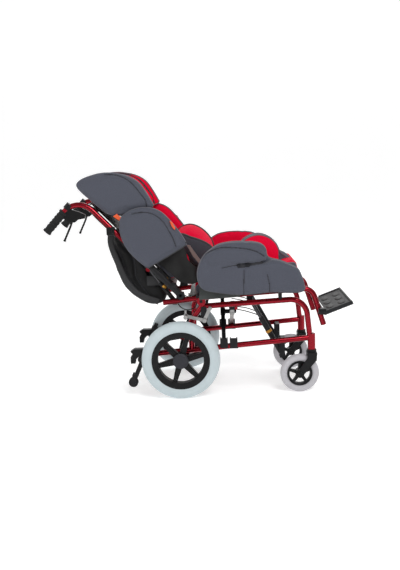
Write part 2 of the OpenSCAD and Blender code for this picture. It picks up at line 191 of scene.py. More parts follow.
class Graph:
    """A material's node graph, built through one method for any node."""

    def __init__(self, name: str) -> None:
        """Starts an empty material of a name with a Principled shader.

        Args:
            name: The material's name.
        """
        self.material = bpy.data.materials.new(name)
        self.material.use_nodes = True
        self.tree = self.material.node_tree
        self.tree.nodes.clear()
        self.shader = self.tree.nodes.new("ShaderNodeBsdfPrincipled")
        output = self.tree.nodes.new("ShaderNodeOutputMaterial")
        self.tree.links.new(self.shader.outputs[0], output.inputs["Surface"])

    def plug(self, socket: bpy.types.NodeSocket, value: Any) -> None:
        """Sets a socket from a number, a colour, a vector or a signal.

        Args:
            socket: The socket to set.
            value: A number, a colour, a vector or a signal.
        """
        if isinstance(value, Signal):
            self.tree.links.new(value.socket, socket)
        elif hasattr(value, "__len__") and len(value) == 3 and socket.type == "RGBA":
            socket.default_value = (*value, 1.0)
        else:
            socket.default_value = value

    def add(self, kind: str, settings: dict[str, Any], inputs: dict[Any, Any], output: Any = 0) -> Signal:
        """Adds a node of any type.

        Args:
            kind: The node's type.
            settings: Its properties, set first.
            inputs: Its sockets' names or numbers, with their values or signals.
            output: The name or number of the output to return.

        Returns:
            The chosen output as a signal.
        """
        node = self.tree.nodes.new(kind)
        for key, value in settings.items():
            setattr(node, key, value)
        for key, value in inputs.items():
            self.plug(node.inputs[key], value)
        return Signal(self, node.outputs[output])

    def place(self, scale: Sequence[float] = (1, 1, 1), turn: Sequence[float] = (0, 0, 0)) -> Signal:
        """Returns Object coordinates, turned and scaled."""
        raw = self.add("ShaderNodeTexCoord", {}, {}, "Object")
        return self.add("ShaderNodeMapping", {}, {"Vector": raw, "Scale": scale, "Rotation": turn})

    def noise(self, scale: float, detail: float = 2.0, where: Optional[Signal] = None) -> Signal:
        """Returns a noise value of a scale per metre."""
        return self.add("ShaderNodeTexNoise", {}, {"Vector": where or self.place(), "Scale": scale,
                                                   "Detail": detail})

    def waves(self, scale: float, turn: Sequence[float], warp: float = 0.0) -> Signal:
        """Returns even bands, about 0.31/scale metres apart, across a turned X.

        Args:
            scale: How dense it is, per metre.
            turn: How its axes are turned, in radians.
            warp: How far it wanders.

        Returns:
            The bands as a signal from 0 to 1.
        """
        return self.add("ShaderNodeTexWave", {"wave_type": "BANDS", "bands_direction": "X"},
                        {"Vector": self.place(turn=turn), "Scale": scale, "Distortion": warp,
                         "Detail": 1.0}, "Fac")

    def facing_y(self) -> Signal:
        """Tells faces along the piece's Y from the others.

        Returns:
            1 where the surface faces along Y, 0 where it faces well away, and a ramp between.
        """
        facing = self.add("ShaderNodeTexCoord", {}, {}, "Normal")
        return self.add("ShaderNodeSeparateXYZ", {}, {"Vector": facing},
                        "Y").math("ABSOLUTE").above(0.4, 0.75)

    def cells(self, scale: float) -> Signal:
        """Returns the distance to the nearest of scattered points."""
        return self.add("ShaderNodeTexVoronoi", {}, {"Vector": self.place(), "Scale": scale}, "Distance")

    def blend(self, first: Any, second: Any, share: Any) -> Signal:
        """Mixes two colours."""
        return self.add("ShaderNodeMix", {"data_type": "RGBA"}, {0: share, 6: first, 7: second}, 2)

    def relief(self, height: Signal, depth: float, strength: float) -> Signal:
        """Returns a bumped normal of a depth in metres."""
        return self.add("ShaderNodeBump", {}, {"Height": height, "Distance": depth,
                                               "Strength": strength}, "Normal")

    def done(self, **inputs: Any) -> bpy.types.Material:
        """Sets the shader's sockets, named with underscores for spaces, and returns the material.

        Args:
            inputs: Values or signals by socket name.

        Returns:
            The material.
        """
        for key, value in inputs.items():
            self.plug(self.shader.inputs[key.replace("_", " ")], value)
        return self.material


# ---------------------------------------------------------------- finishes
@dataclass(frozen=True)
class Finish:
    """A finish with a base colour and the record's slot it belongs to."""

    name: str
    colour: Colour
    slot: str

    def shade(self, factor: float) -> Colour:
        """Returns the colour made darker or lighter."""
        return tuple(min(1.0, channel * factor) for channel in self.colour)

    def build(self) -> bpy.types.Material:
        """Builds the material."""
        raise NotImplementedError


@dataclass(frozen=True)
class Lacquer(Finish):
    """Clear-coated metallic tube paint with flake and fine handling scratches."""

    def build(self) -> bpy.types.Material:
        """Builds the material.

        Returns:
            The material.
        """
        g = Graph(self.name)
        flake = g.cells(1400)
        cloudy = g.noise(9, 3)
        scratch = g.noise(260, 2, g.place(scale=(0.12, 1, 1)))
        base = g.blend(self.shade(0.62), self.shade(1.25), (flake * 0.3 + cloudy * 0.7).above(0.1, 0.85))
        return g.done(Base_Color=base, Metallic=0.92, Roughness=0.24 + scratch.above(0.55, 0.8) * 0.16,
                      Normal=g.relief(flake, 0.00002, 0.15), Coat_Weight=0.22, Coat_Roughness=0.05)


@dataclass(frozen=True)
class Plated(Finish):
    """Brushed or plated steel with faint dull patches."""

    rough: float = 0.28

    def build(self) -> bpy.types.Material:
        """Builds the material.

        Returns:
            The material.
        """
        g = Graph(self.name)
        grain = g.noise(900, 2, g.place(scale=(1, 1, 0.05)))
        dull = g.noise(40, 4)
        return g.done(Base_Color=g.blend(self.shade(0.8), self.shade(1.1), grain), Metallic=0.95,
                      Roughness=self.rough + dull.above(0.45, 0.75) * 0.22,
                      Normal=g.relief(grain, 0.00005, 0.3))


@dataclass(frozen=True)
class Moulded(Finish):
    """Moulded plastic or powder coat with a fine spark-eroded grain and scuffs."""

    rough: float = 0.45
    grain: float = 1500.0
    depth: float = 0.00012

    def build(self) -> bpy.types.Material:
        """Builds the material.

        Returns:
            The material.
        """
        g = Graph(self.name)
        pits = g.cells(self.grain)
        scuffs = g.noise(70, 5).above(0.58, 0.72)
        dust = g.noise(14, 3)
        base = g.blend(self.shade(0.7), self.shade(1.5), scuffs * 0.35 + dust.above(0.5, 0.8) * 0.25)
        return g.done(Base_Color=base, Roughness=self.rough + scuffs * 0.16 - pits * 0.08,
                      Normal=g.relief(pits, self.depth, 0.35), Specular_IOR_Level=0.16)


@dataclass(frozen=True)
class TyreRubber(Finish):
    """Puncture-proof tyre with a mould skin, a dusty tread and faint flow bands."""

    def build(self) -> bpy.types.Material:
        """Builds the material.

        Returns:
            The material.
        """
        g = Graph(self.name)
        skin = g.noise(620, 3)
        cloud = g.noise(22, 4)
        grime = g.noise(60, 6).above(0.56, 0.74)
        base = g.blend(self.shade(0.93), self.shade(1.06), cloud)
        base = g.blend(base, (0.36, 0.35, 0.33), grime * 0.16)
        return g.done(Base_Color=base, Roughness=0.55 + grime * 0.2 - cloud * 0.08,
                      Normal=g.relief(skin, 0.00012, 0.35), Specular_IOR_Level=0.4)


@dataclass(frozen=True)
class Knit(Finish):
    """Spacer knit over foam: slanted wales, small loops, fuzz and slight fading."""

    pitch: float = 0.0022
    fuzz: float = 0.35

    def build(self) -> bpy.types.Material:
        """Builds the material.

        Returns:
            The material.
        """
        g = Graph(self.name)
        bands = 0.314 / self.pitch
        sideways = g.facing_y()
        wales = g.waves(bands, (0, math.radians(40), 0), 0.6)
        across = g.waves(bands, (0, 0, math.radians(90)), 0.6)
        loops = g.cells(1.15 / self.pitch)
        lint = g.noise(420, 3).above(0.6, 0.75)
        fade = g.noise(7, 3)
        weave = (wales * sideways + across * (1 - sideways)) * 0.6 + (1 - loops) * 0.5
        base = g.blend(self.shade(0.82), self.shade(1.16), weave.above(0.3, 0.95))
        base = g.blend(base, self.shade(1.35), lint * 0.14 + fade.above(0.55, 0.85) * 0.1)
        return g.done(Base_Color=base, Roughness=0.86 - weave * 0.08, Normal=g.relief(weave, 0.0006, 0.4),
                      Sheen_Weight=self.fuzz, Sheen_Roughness=0.5, Specular_IOR_Level=0.12)


@dataclass(frozen=True)
class Woven(Finish):
    """Plain-woven bag cloth with a ripstop grid, soft creasing and painted highlight on the creases."""

    def build(self) -> bpy.types.Material:
        """Builds the material.

        Returns:
            The material.
        """
        g = Graph(self.name)
        sideways = g.facing_y()
        warp = g.waves(220, (0, math.radians(45), 0)) * sideways
        weft = g.waves(220, (0, 0, math.radians(90))) * (1 - sideways)
        crease_and_highlight = g.noise(16, 5)
        weave = warp + weft
        # Painted highlight: the cloth is painted lighter where the crease noise is high; the lighter threads
        # of the weave are its own pattern.
        base = g.blend(self.shade(0.6), self.shade(1.8), weave * 0.4 + crease_and_highlight.above(0.4, 0.75) * 0.4)
        return g.done(Base_Color=base, Roughness=0.5 + crease_and_highlight * 0.25,
                      Normal=g.relief(weave * 0.25 + crease_and_highlight, 0.0022, 0.45), Sheen_Weight=0.04,
                      Specular_IOR_Level=0.3)


@dataclass(frozen=True)
class CoatedSheet(Finish):
    """Glossy coated sling sheet with a fine leather grain, long soft folds and painted highlight along the
    folds.
    """

    def build(self) -> bpy.types.Material:
        """Builds the material.

        Returns:
            The material.
        """
        g = Graph(self.name)
        leather = g.cells(560)
        folds = g.noise(11, 3)
        # Painted highlight: the sheet is painted lighter where the fold noise is high.
        base = g.blend(self.shade(0.7), self.shade(2.2), folds.above(0.4, 0.8) * 0.7)
        return g.done(Base_Color=base, Roughness=0.24 + folds * 0.16 + leather * 0.06,
                      Normal=g.relief(leather * 0.12 + folds, 0.006, 0.6), Coat_Weight=0.06,
                      Coat_Roughness=0.25, Specular_IOR_Level=0.25)


@dataclass(frozen=True)
class Webbing(Finish):
    """Ribbed webbing tape or cord cover."""

    def build(self) -> bpy.types.Material:
        """Builds the material.

        Returns:
            The material.
        """
        g = Graph(self.name)
        ribs = g.waves(190, (0, math.radians(30), 0), 0.4)
        wear = g.noise(150, 4)
        base = g.blend(self.shade(0.75), self.shade(1.2), ribs * 0.6 + wear * 0.4)
        return g.done(Base_Color=base, Roughness=0.7 - wear * 0.12, Normal=g.relief(ribs, 0.0005, 0.5))


PAINT = Lacquer("red_lacquer", (0.255, 0.003, 0.012), "frame_paint")
BRIGHT = Plated("zinc_plate", (0.34, 0.34, 0.335), "bright_steel")
DARK_CHROME = Plated("dark_chrome", (0.07, 0.07, 0.075), "bright_steel", 0.2)
GOLD = Plated("gold_plate", (0.55, 0.27, 0.05), "bright_steel")
BLACK_METAL = Moulded("black_powder_coat", (0.018, 0.018, 0.02), "black_steel", 0.38)
BLACK_PLASTIC = Moulded("black_nylon", (0.012, 0.012, 0.013), "black_plastic", 0.42)
CAP_PLASTIC = Moulded("hub_cap_nylon", (0.045, 0.046, 0.055), "cap_plastic", 0.5)
GRIP_RUBBER = Moulded("grip_rubber", (0.022, 0.023, 0.024), "grip_rubber", 0.62, 700.0, 0.0003)
ROLLER = Moulded("roller_rubber", (0.02, 0.02, 0.021), "roller_rubber", 0.6)
FOOT_PLASTIC = Moulded("foot_plate_nylon", (0.023, 0.024, 0.026), "foot_plastic", 0.55, 900.0, 0.0002)
FOOT_TRIM = Moulded("foot_plate_bars", (0.005, 0.005, 0.0055), "foot_plastic", 0.5)
TYRE = TyreRubber("blue_grey_tyre", (0.50, 0.575, 0.60), "grey_tyre")
CASTER_TYRE = TyreRubber("grey_caster_tyre", (0.46, 0.45, 0.475), "caster_tyre")
GREY_KNIT = Knit("grey_knit", (0.078, 0.083, 0.106), "grey_fabric", 0.0022, 0.15)
DARK_KNIT = Knit("dark_grey_knit", (0.045, 0.048, 0.06), "grey_fabric")
RED_KNIT = Knit("red_knit", (0.76, 0.0006, 0.036), "red_fabric", 0.0024, 0.0)
PIPING = Webbing("grey_piping", (0.13, 0.13, 0.15), "grey_fabric")
DARK_PIPING = Webbing("dark_piping", (0.035, 0.036, 0.04), "grey_fabric")
# Dark thread colour, also used as painted shade in the arm pads' slot.
THREAD_AND_SHADE = Webbing("dark_thread", (0.012, 0.013, 0.018), "grey_fabric")
TAB = Webbing("orange_tape", (0.78, 0.10, 0.02), "red_fabric")
STRAP = Webbing("black_webbing", (0.016, 0.016, 0.018), "black_fabric")
BAG_CLOTH = Woven("bag_cloth", (0.0045, 0.0045, 0.0052), "black_fabric")
SHEET = CoatedSheet("coated_sheet", (0.006, 0.006, 0.006), "black_sheet")
# Taupe strip beside each skirt's front edge: painted highlight on the glossy sheet's fold.
SKIRT_HIGHLIGHT = Knit("taupe_lining", (0.17, 0.125, 0.115), "grey_fabric")
PANEL_VINYL = CoatedSheet("seat_side_vinyl", (0.036, 0.041, 0.040), "black_sheet")
CABLE = Moulded("cable_jacket", (0.012, 0.012, 0.012), "black_plastic", 0.35)


class Palette:
    """Builds each finish's material once."""

    def __init__(self) -> None:
        """Starts with nothing built."""
        self.made: dict[str, bpy.types.Material] = {}

    def of(self, finish: Finish) -> bpy.types.Material:
        """Returns the material of a finish.

        Args:
            finish: The finish.

        Returns:
            The material.
        """
        if finish.name not in self.made:
            self.made[finish.name] = finish.build()
        return self.made[finish.name]


PALETTE = Palette()


# ---------------------------------------------------------------- mesh tools
def outline(points: Sequence[Pair], corners: Iterable[int] = (), closed: bool = True,
            step: float = 6.0) -> list[Vector]:
    """Runs a smooth line through side-view points.

    Args:
        points: Its points, in millimetres from the rear axle and the floor.
        corners: The numbers of the points where it turns sharply.
        closed: Joins the last point to the first.
        step: About how far apart the new points are.

    Returns:
        Points in the side view, in millimetres.
    """
    count, sharp = len(points), set(corners)
    base = [Vector(p) for p in points]
    line: list[Vector] = []
    for i in range(count if closed else count - 1):
        a, b = base[i], base[(i + 1) % count]
        before = base[i - 1] if closed or i else a
        after = base[(i + 2) % count] if closed or i + 2 < count else b
        leave = b - a if i in sharp else (b - before) / 2
        arrive = b - a if (i + 1) % count in sharp else (after - a) / 2
        pieces = max(2, round((b - a).length / step))
        for k in range(pieces):
            t = k / pieces
            line.append(a * (2 * t**3 - 3 * t**2 + 1) + leave * (t**3 - 2 * t**2 + t)
                        + b * (3 * t**2 - 2 * t**3) + arrive * (t**3 - t**2))
    if not closed:
        line.append(base[-1])
    return line


def linked(name: str, data: Any) -> bpy.types.Object:
    """Puts a mesh, a camera or a light into the scene as an object.

    Args:
        name: The object's name.
        data: What it holds.

    Returns:
        The object.
    """
    made = bpy.data.objects.new(name, data)
    bpy.context.scene.collection.objects.link(made)
    return made


def bevel(bm: bmesh.types.BMesh, edges: Sequence[Any], width: float, segments: int) -> None:
    """Rounds edges by a width in metres."""
    bmesh.ops.bevel(bm, geom=edges, offset=width, affect="EDGES", segments=segments, profile=0.5,
                    material=-1)


def new_object(name: str, bm: bmesh.types.BMesh, *finishes: Finish) -> bpy.types.Object:
    """Makes a smooth-shaded object of a bmesh and frees the bmesh.

    Args:
        name: The piece's name.
        bm: Its shape in the row frame.
        finishes: Its finishes, in the order of its faces' material numbers.

    Returns:
        The object.
    """
    mesh = bpy.data.meshes.new(name)
    bm.to_mesh(mesh)
    bm.free()
    mesh.polygons.foreach_set("use_smooth", [True] * len(mesh.polygons))
    piece = linked(name, mesh)
    for finish in finishes:
        mesh.materials.append(PALETTE.of(finish))
    return piece


def settle(piece: bpy.types.Object, body: str, finish: Finish, *nodes: str) -> None:
    """Rides a piece on a body and hides the CAD nodes that it stands for.

    Args:
        piece: The piece.
        body: The body it rides on.
        finish: Not used.
        nodes: The CAD nodes that it stands for.
    """
    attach(piece, body)
    if nodes:
        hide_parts(*nodes)
    log.info("%s: %d faces on %s", piece.name, len(piece.data.polygons), body)


def tube(name: str, points: Sequence[Vector], radius: float, finish: Finish, closed: bool = False,
         flat: float = 1.0) -> bpy.types.Object:
    """Sweeps a round or flattened tube along points.

    Args:
        name: The piece's name.
        points: Its centre line in the row frame.
        radius: Its radius in metres.
        finish: Its finish.
        closed: Joins its ends.
        flat: Share of the radius that it keeps across its section's second way.

    Returns:
        The object.
    """
    bm = bmesh.new()
    loops = []
    count = len(points)
    lift = Vector((0, 0, 1))
    for i, point in enumerate(points):
        ahead = points[(i + 1) % count] if closed or i + 1 < count else point
        behind = points[i - 1] if closed or i else point
        way = (ahead - behind).normalized()
        lift = (lift - way * lift.dot(way)).normalized() if abs(lift.dot(way)) < 0.999 else way.orthogonal()
        turn = Matrix((way.cross(lift), lift, way)).transposed().to_4x4()
        ring = bmesh.ops.create_circle(bm, segments=TUBE_SIDES, radius=radius)["verts"]
        bmesh.ops.scale(bm, vec=(flat, 1, 1), verts=ring)
        bmesh.ops.transform(bm, matrix=Matrix.Translation(point) @ turn, verts=ring)
        loops.append(list({edge for v in ring for edge in v.link_edges}))
    for first, second in zip(loops, loops[1:] + loops[:1] if closed else loops[1:]):
        bmesh.ops.bridge_loops(bm, edges=first + second)
    if not closed:
        for ring in (loops[0], loops[-1]):
            bmesh.ops.edgeloop_fill(bm, edges=ring)
    bmesh.ops.recalc_face_normals(bm, faces=bm.faces)
    return new_object(name, bm, finish)


@dataclass(frozen=True)
class Slab:
    """A slab of a side outline between two distances out, with rounded rims, all in millimetres."""

    points: Sequence[Pair]
    inner: float
    outer: float
    rim: float
    corners: Iterable[int] = ()
    step: float = 6.0

    def line(self) -> list[Vector]:
        """Returns its smooth closed outline."""
        return outline(self.points, self.corners, step=self.step)

    def add_to(self, bm: bmesh.types.BMesh) -> None:
        """Adds the slab to a mesh.

        Args:
            bm: The mesh, in metres in the row frame.
        """
        verts = [bm.verts.new(spot(p.x, p.y, self.inner)) for p in self.line()]
        face = bmesh.ops.contextual_create(bm, geom=verts)["faces"][0]
        grown = bmesh.ops.extrude_face_region(bm, geom=[face])["geom"]
        moved = [g for g in grown if isinstance(g, bmesh.types.BMVert)]
        bmesh.ops.translate(bm, vec=(0, (self.outer - self.inner) * MM, 0), verts=moved)
        far = next(g for g in grown if isinstance(g, bmesh.types.BMFace))
        rims = list(set(face.edges) | set(far.edges)) if face.is_valid else list(far.edges)
        if self.rim > 0:
            bevel(bm, rims, self.rim * MM, 4)
        bmesh.ops.recalc_face_normals(bm, faces=bm.faces)


def slabs(name: str, layers: Iterable[Slab], *finishes: Finish) -> bpy.types.Object:
    """Makes one piece of slabs.

    Args:
        name: The piece's name.
        layers: Its slabs.
        finishes: Its finishes.

    Returns:
        The object.
    """
    bm = bmesh.new()
    for layer in layers:
        layer.add_to(bm)
    return new_object(name, bm, *finishes)


def positions(mesh: bpy.types.Mesh) -> np.ndarray:
    """Returns a mesh's vertex positions as rows.

    Args:
        mesh: The mesh.

    Returns:
        A row of X, Y and Z in metres for each vertex.
    """
    flat = np.empty(len(mesh.vertices) * 3)
    mesh.vertices.foreach_get("co", flat)
    return flat.reshape(-1, 3)


def set_positions(mesh: bpy.types.Mesh, rows: np.ndarray) -> None:
    """Writes vertex positions back to a mesh."""
    mesh.vertices.foreach_set("co", rows.ravel())
    mesh.update()


def normals_of(mesh: bpy.types.Mesh) -> np.ndarray:
    """Returns a mesh's vertex normals as rows.

    Args:
        mesh: The mesh.

    Returns:
        A unit row for each vertex.
    """
    flat = np.empty(len(mesh.vertices) * 3)
    mesh.vertex_normals.foreach_get("vector", flat)
    return flat.reshape(-1, 3)


def apply_modifiers(piece: bpy.types.Object) -> None:
    """Bakes a piece's modifiers into its mesh and removes them.

    Args:
        piece: The piece.
    """
    graph = bpy.context.evaluated_depsgraph_get()
    baked = bpy.data.meshes.new_from_object(piece.evaluated_get(graph))
    old = piece.data
    piece.modifiers.clear()
    piece.data = baked
    bpy.data.meshes.remove(old)


def distance_to(line: Sequence[Vector], rows: np.ndarray) -> np.ndarray:
    """Returns each row's side-view distance in metres to a line given in millimetres.

    Args:
        line: The line, in millimetres in the side view.
        rows: Vertex positions, a row each, in metres.

    Returns:
        A distance for each row.
    """
    flat = np.array([[AXLE_X + p.x * MM, p.y * MM] for p in line])
    here = rows[:, [0, 2]]
    best = np.full(len(rows), 1e9)
    for a, b in zip(flat[:-1], flat[1:]):
        way = b - a
        share = np.clip(((here - a) @ way) / max(way @ way, 1e-12), 0, 1)
        best = np.minimum(best, np.linalg.norm(here - a - share[:, None] * way, axis=1))
    return best


@dataclass
class Seam:
    """A stitched line that draws the cover in.

    The line is in the side view; faces says which way the drawn face looks along Y, and 0 takes both. Faces
    within dark millimetres of the line take the thread colour: a seam line where dark is small, painted shade
    of a gap where it is wide.
    """

    points: Sequence[Pair]
    faces: int = 0
    width: float = 7.0
    depth: float = 5.0
    stitched: bool = True
    dark: float = 1.5

    def line(self) -> list[Vector]:
        """Returns the smooth seam line in millimetres."""
        return outline(self.points, closed=False, step=8.0)

    def draw_in(self, rows: np.ndarray, normals: np.ndarray) -> np.ndarray:
        """Returns vertex positions with the groove of the seam pressed in.

        Args:
            rows: Vertex positions, a row each, in metres.
            normals: Vertex normals, a row each.

        Returns:
            The moved positions.
        """
        near = distance_to(self.line(), rows)
        share = np.exp(-(near / (self.width * MM)) ** 2) * np.clip(np.abs(normals[:, 1]) * 1.6 - 0.3, 0, 1)
        if self.faces:
            share = share * (np.sign(normals[:, 1]) == self.faces)
        return rows - normals * (share * self.depth * MM)[:, None]


class Stitcher:
    """Lays thread and piping on a finished cushion."""

    def __init__(self, piece: bpy.types.Object) -> None:
        """Keeps the cover's mesh and a tree of its faces for finding its surface.

        Args:
            piece: The finished cushion.
        """
        self.bm = bmesh.new()
        self.bm.from_mesh(piece.data)
        self.tree = BVHTree.FromBMesh(self.bm)

    def surface(self, point: Vector, side: int) -> Optional[Vector]:
        """Returns the point on the cover straight outwards along Y.

        Args:
            point: A point whose X and Z are taken.
            side: Which way the face looks along Y.

        Returns:
            The point, or None where the cover is missed.
        """
        start = Vector((point.x, side * 0.6, point.z))
        hit = self.tree.ray_cast(start, Vector((0, -side, 0)))
        return hit[0]

    def thread(self, name: str, seams: Sequence[Seam], side: int) -> Optional[bpy.types.Object]:
        """Makes short thread stitches along seams.

        Args:
            name: The piece's name.
            seams: The seams to follow.
            side: Which way the stitched face looks along Y.

        Returns:
            The object, or None where nothing was hit.
        """
        bm = bmesh.new()
        for seam in seams:
            if not seam.stitched or (seam.faces and seam.faces != side):
                continue
            line = outline(seam.points, closed=False, step=STITCH)
            for a, b in zip(line, line[1:]):
                here = self.surface(spot((a.x + b.x) / 2, (a.y + b.y) / 2), side)
                if here is None:
                    continue
                way = math.atan2(b.y - a.y, b.x - a.x)
                made = bmesh.ops.create_cube(bm, size=1.0)["verts"]
                bmesh.ops.scale(bm, vec=(STITCH * 0.6 * MM, 0.0011, 0.0011), verts=made)
                turn = Matrix.Translation(here) @ Matrix.Rotation(-way, 4, "Y")
                bmesh.ops.transform(bm, matrix=turn, verts=made)
        if not bm.verts:
            bm.free()
            return None
        bevel(bm, bm.edges[:], 0.0003, 1)
        return new_object(name, bm, THREAD_AND_SHADE)

    def ring(self, out: float, keep: Optional[Keep] = None) -> list[list[Vector]]:
        """Slices the cover with an upright plane along the chair and returns the loops it leaves.

        Args:
            out: The plane's Y in metres.
            keep: Says which points of the slice are kept.

        Returns:
            Lines of points, the longest first; a closed one starts and ends at one point.
        """
        cut = self.bm.copy()
        geom = bmesh.ops.bisect_plane(cut, geom=cut.verts[:] + cut.edges[:] + cut.faces[:],
                                      plane_co=Vector((0, out, 0)), plane_no=SIDEWAYS,
                                      clear_outer=True, clear_inner=True)["geom_cut"]
        edges = [e for e in geom if isinstance(e, bmesh.types.BMEdge) and e.is_valid]
        links: dict[int, list[int]] = {}
        where: dict[int, Vector] = {}
        for edge in edges:
            a, b = edge.verts
            if keep and not (keep(a.co) and keep(b.co)):
                continue
            for one, two in ((a, b), (b, a)):
                links.setdefault(one.index, []).append(two.index)
                where[one.index] = one.co.copy()
        lines: list[list[Vector]] = []
        left = set(where)
        while left:
            ends = [k for k in left if len([n for n in links[k] if n in left]) == 1]
            start = ends[0] if ends else next(iter(sorted(left)))
            walk, here = [start], start
            left.discard(start)
            while True:
                onward = [n for n in links[here] if n in left]
                if not onward:
                    break
                here = onward[0]
                left.discard(here)
                walk.append(here)
            closed = walk[0] in links[walk[-1]] and len(walk) > 2
            lines.append([where[k] for k in walk] + ([where[walk[0]]] if closed else []))
        cut.free()
        return sorted(lines, key=len, reverse=True)

    def piping(self, name: str, out: float, radius: float, finish: Finish,
               keep: Optional[Keep] = None) -> Optional[bpy.types.Object]:
        """Makes a welt along the cover's slice with an upright plane, standing a little off the cover.

        Args:
            name: The piece's name.
            out: The plane's Y in metres.
            radius: Its radius in metres.
            finish: Its finish.
            keep: Says which points of the slice are kept.

        Returns:
            The object, or None where the slice is too short.
        """
        self.bm.verts.index_update()
        lines = self.ring(out, keep)
        if not lines or len(lines[0]) < 8:
            return None
        line = lines[0]
        closed = (line[0] - line[-1]).length < 1e-6
        smooth = even(line[:-1] if closed else line, 0.006, closed)
        centre = sum(smooth, Vector()) / len(smooth)
        smooth = [p + (p - centre).normalized() * WELT_STANDS for p in smooth]
        return tube(name, smooth, radius, finish, closed)


def even(line: Sequence[Vector], step: float, closed: bool) -> list[Vector]:
    """Returns a line's points evenly spaced and smoothed.

    Args:
        line: The points.
        step: Their new spacing in metres.
        closed: Whether the last point joins the first.

    Returns:
        The new points.
    """
    rows = np.array([tuple(p) for p in line] + ([tuple(line[0])] if closed else []))
    run = np.concatenate([[0], np.cumsum(np.linalg.norm(np.diff(rows, axis=0), axis=1))])
    count = max(6, round(run[-1] / step))
    at = np.linspace(0, run[-1], count, endpoint=not closed)
    new = np.stack([np.interp(at, run, rows[:, k]) for k in range(3)], axis=1)
    for _ in range(4):
        if closed:
            new = (np.roll(new, 1, 0) + 2 * new + np.roll(new, -1, 0)) / 4
        else:
            new[1:-1] = (new[:-2] + 2 * new[1:-1] + new[2:]) / 4
    return [Vector(row) for row in new]


# ---------------------------------------------------------------- cushions
@dataclass
class Cushion:
    """A stuffed piece that is remeshed, puffed by a cloth simulation, stitched and coloured."""

    name: str
    body: str
    nodes: tuple[str, ...]
    slabs: Sequence[Slab]
    cover: Finish
    lining: Finish
    lined: Lined
    seams: Sequence[Seam] = ()
    grow: float = 8.0
    cell: float = 5.0
    pressure: float = 4.0
    held: tuple[float, float, float] = (0.0, 0.0, 0.0)
    fill: float = 0.7
    soften: int = 0
    crown: Optional[Callable[[np.ndarray], np.ndarray]] = None
    piece: Any = field(default=None, init=False)
    rest: Any = field(default=None, init=False)

    def shape(self) -> None:
        """Builds the closed shape and remeshes it evenly."""
        self.piece = slabs(self.name, self.slabs, self.cover, self.lining)
        remesh = self.piece.modifiers.new("Remesh", "REMESH")
        remesh.mode, remesh.voxel_size = "VOXEL", self.cell * MM
        if self.soften:
            rounding = self.piece.modifiers.new("Rounding", "SMOOTH")
            rounding.factor, rounding.iterations = 0.6, self.soften
        apply_modifiers(self.piece)
        self.rest = positions(self.piece.data)
        if self.crown:
            self.rest = self.crown(self.rest)
            set_positions(self.piece.data, self.rest)

    def start_puffing(self) -> None:
        """Adds the cloth with inner pressure and no gravity."""
        cloth = self.piece.modifiers.new("Cloth", "CLOTH")
        settings = cloth.settings
        settings.quality, settings.mass = 4, 0.3
        settings.use_pressure, settings.uniform_pressure_force = True, self.pressure
        settings.tension_stiffness = settings.compression_stiffness = 12
        settings.bending_stiffness = 0.6
        settings.effector_weights.gravity = 0
        cloth.point_cache.frame_start, cloth.point_cache.frame_end = 1, LAST_FRAME
        cloth.collision_settings.use_collision = False

    def keep_puff(self) -> None:
        """Takes the simulated shape, with its growth capped and stopped at what holds it."""
        graph = bpy.context.evaluated_depsgraph_get()
        puffed = positions(self.piece.evaluated_get(graph).data)
        self.piece.modifiers.clear()
        outwards = normals_of(self.piece.data)
        swell = np.clip(((puffed - self.rest) * outwards).sum(axis=1), 0, self.grow * MM)
        move = outwards * swell[:, None]
        hold = np.array(self.held)
        if hold.any():
            move = move - np.clip(move @ hold, 0, None)[:, None] * hold
        set_positions(self.piece.data, self.rest + move)

    def sew(self) -> None:
        """Subdivides the cover, draws the seams in, colours cover and lining, and gives faces along the seams
        the thread colour, which is painted shade where a band is wide.
        """
        smooth = self.piece.modifiers.new("Smooth", "SUBSURF")
        smooth.levels = smooth.render_levels = 1
        apply_modifiers(self.piece)
        mesh = self.piece.data
        for seam in self.seams:
            set_positions(mesh, seam.draw_in(positions(mesh), normals_of(mesh)))
        centres, normals = np.empty(len(mesh.polygons) * 3), np.empty(len(mesh.polygons) * 3)
        mesh.polygons.foreach_get("center", centres)
        mesh.polygons.foreach_get("normal", normals)
        rows, facing = centres.reshape(-1, 3), np.sign(normals.reshape(-1, 3)[:, 1])
        index = self.lined(rows, normals.reshape(-1, 3)).astype(np.int32)
        # Thread colour along the seams: a seam line where dark is small, painted shade of a gap on the arm
        # pads' slot where it is wide.
        for seam in self.seams:
            if seam.dark:
                near = distance_to(seam.line(), rows) < seam.dark * MM
                index[near & ((facing == seam.faces) | (seam.faces == 0))] = 2
        mesh.materials.append(PALETTE.of(THREAD_AND_SHADE))
        mesh.polygons.foreach_set("material_index", index)
        mesh.polygons.foreach_set("use_smooth", np.ones(len(mesh.polygons), dtype=bool))
        mesh.update()
        settle(self.piece, self.body, self.cover, *self.nodes)

    def trimmed(self, piece: Optional[bpy.types.Object], finish: Finish) -> None:
        """Rides a trim piece with the cushion."""
        if piece:
            settle(piece, self.body, finish)

    def thread_on(self, side: Side) -> None:
        """Stitches thread along the seams on the face that looks to a side."""
        made = Stitcher(self.piece).thread(f"{self.name}_thread_{side.word}", self.seams, side.value)
        self.trimmed(made, THREAD_AND_SHADE)

    def welt(self, tag: str, out: float, radius: float = WELT, finish: Finish = PIPING,
             keep: Optional[Keep] = None) -> None:
        """Adds a welt where an upright plane along the chair slices the cover.

        Args:
            tag: The end of the welt's name.
            out: The plane's Y in metres.
            radius: The welt's radius in metres.
            finish: Its finish.
            keep: Says which points of the slice it follows.
        """
        made = Stitcher(self.piece).piping(f"{self.name}_{tag}", out, radius, finish, keep)
        self.trimmed(made, finish)

    def edge_welts(self, out: float, radius: float = WELT, finish: Finish = PIPING) -> None:
        """Adds a welt on each side of the cover, a distance in metres from its middle."""
        for side in Side:
            self.welt(f"welt_{side.word}", side.value * out, radius, finish)


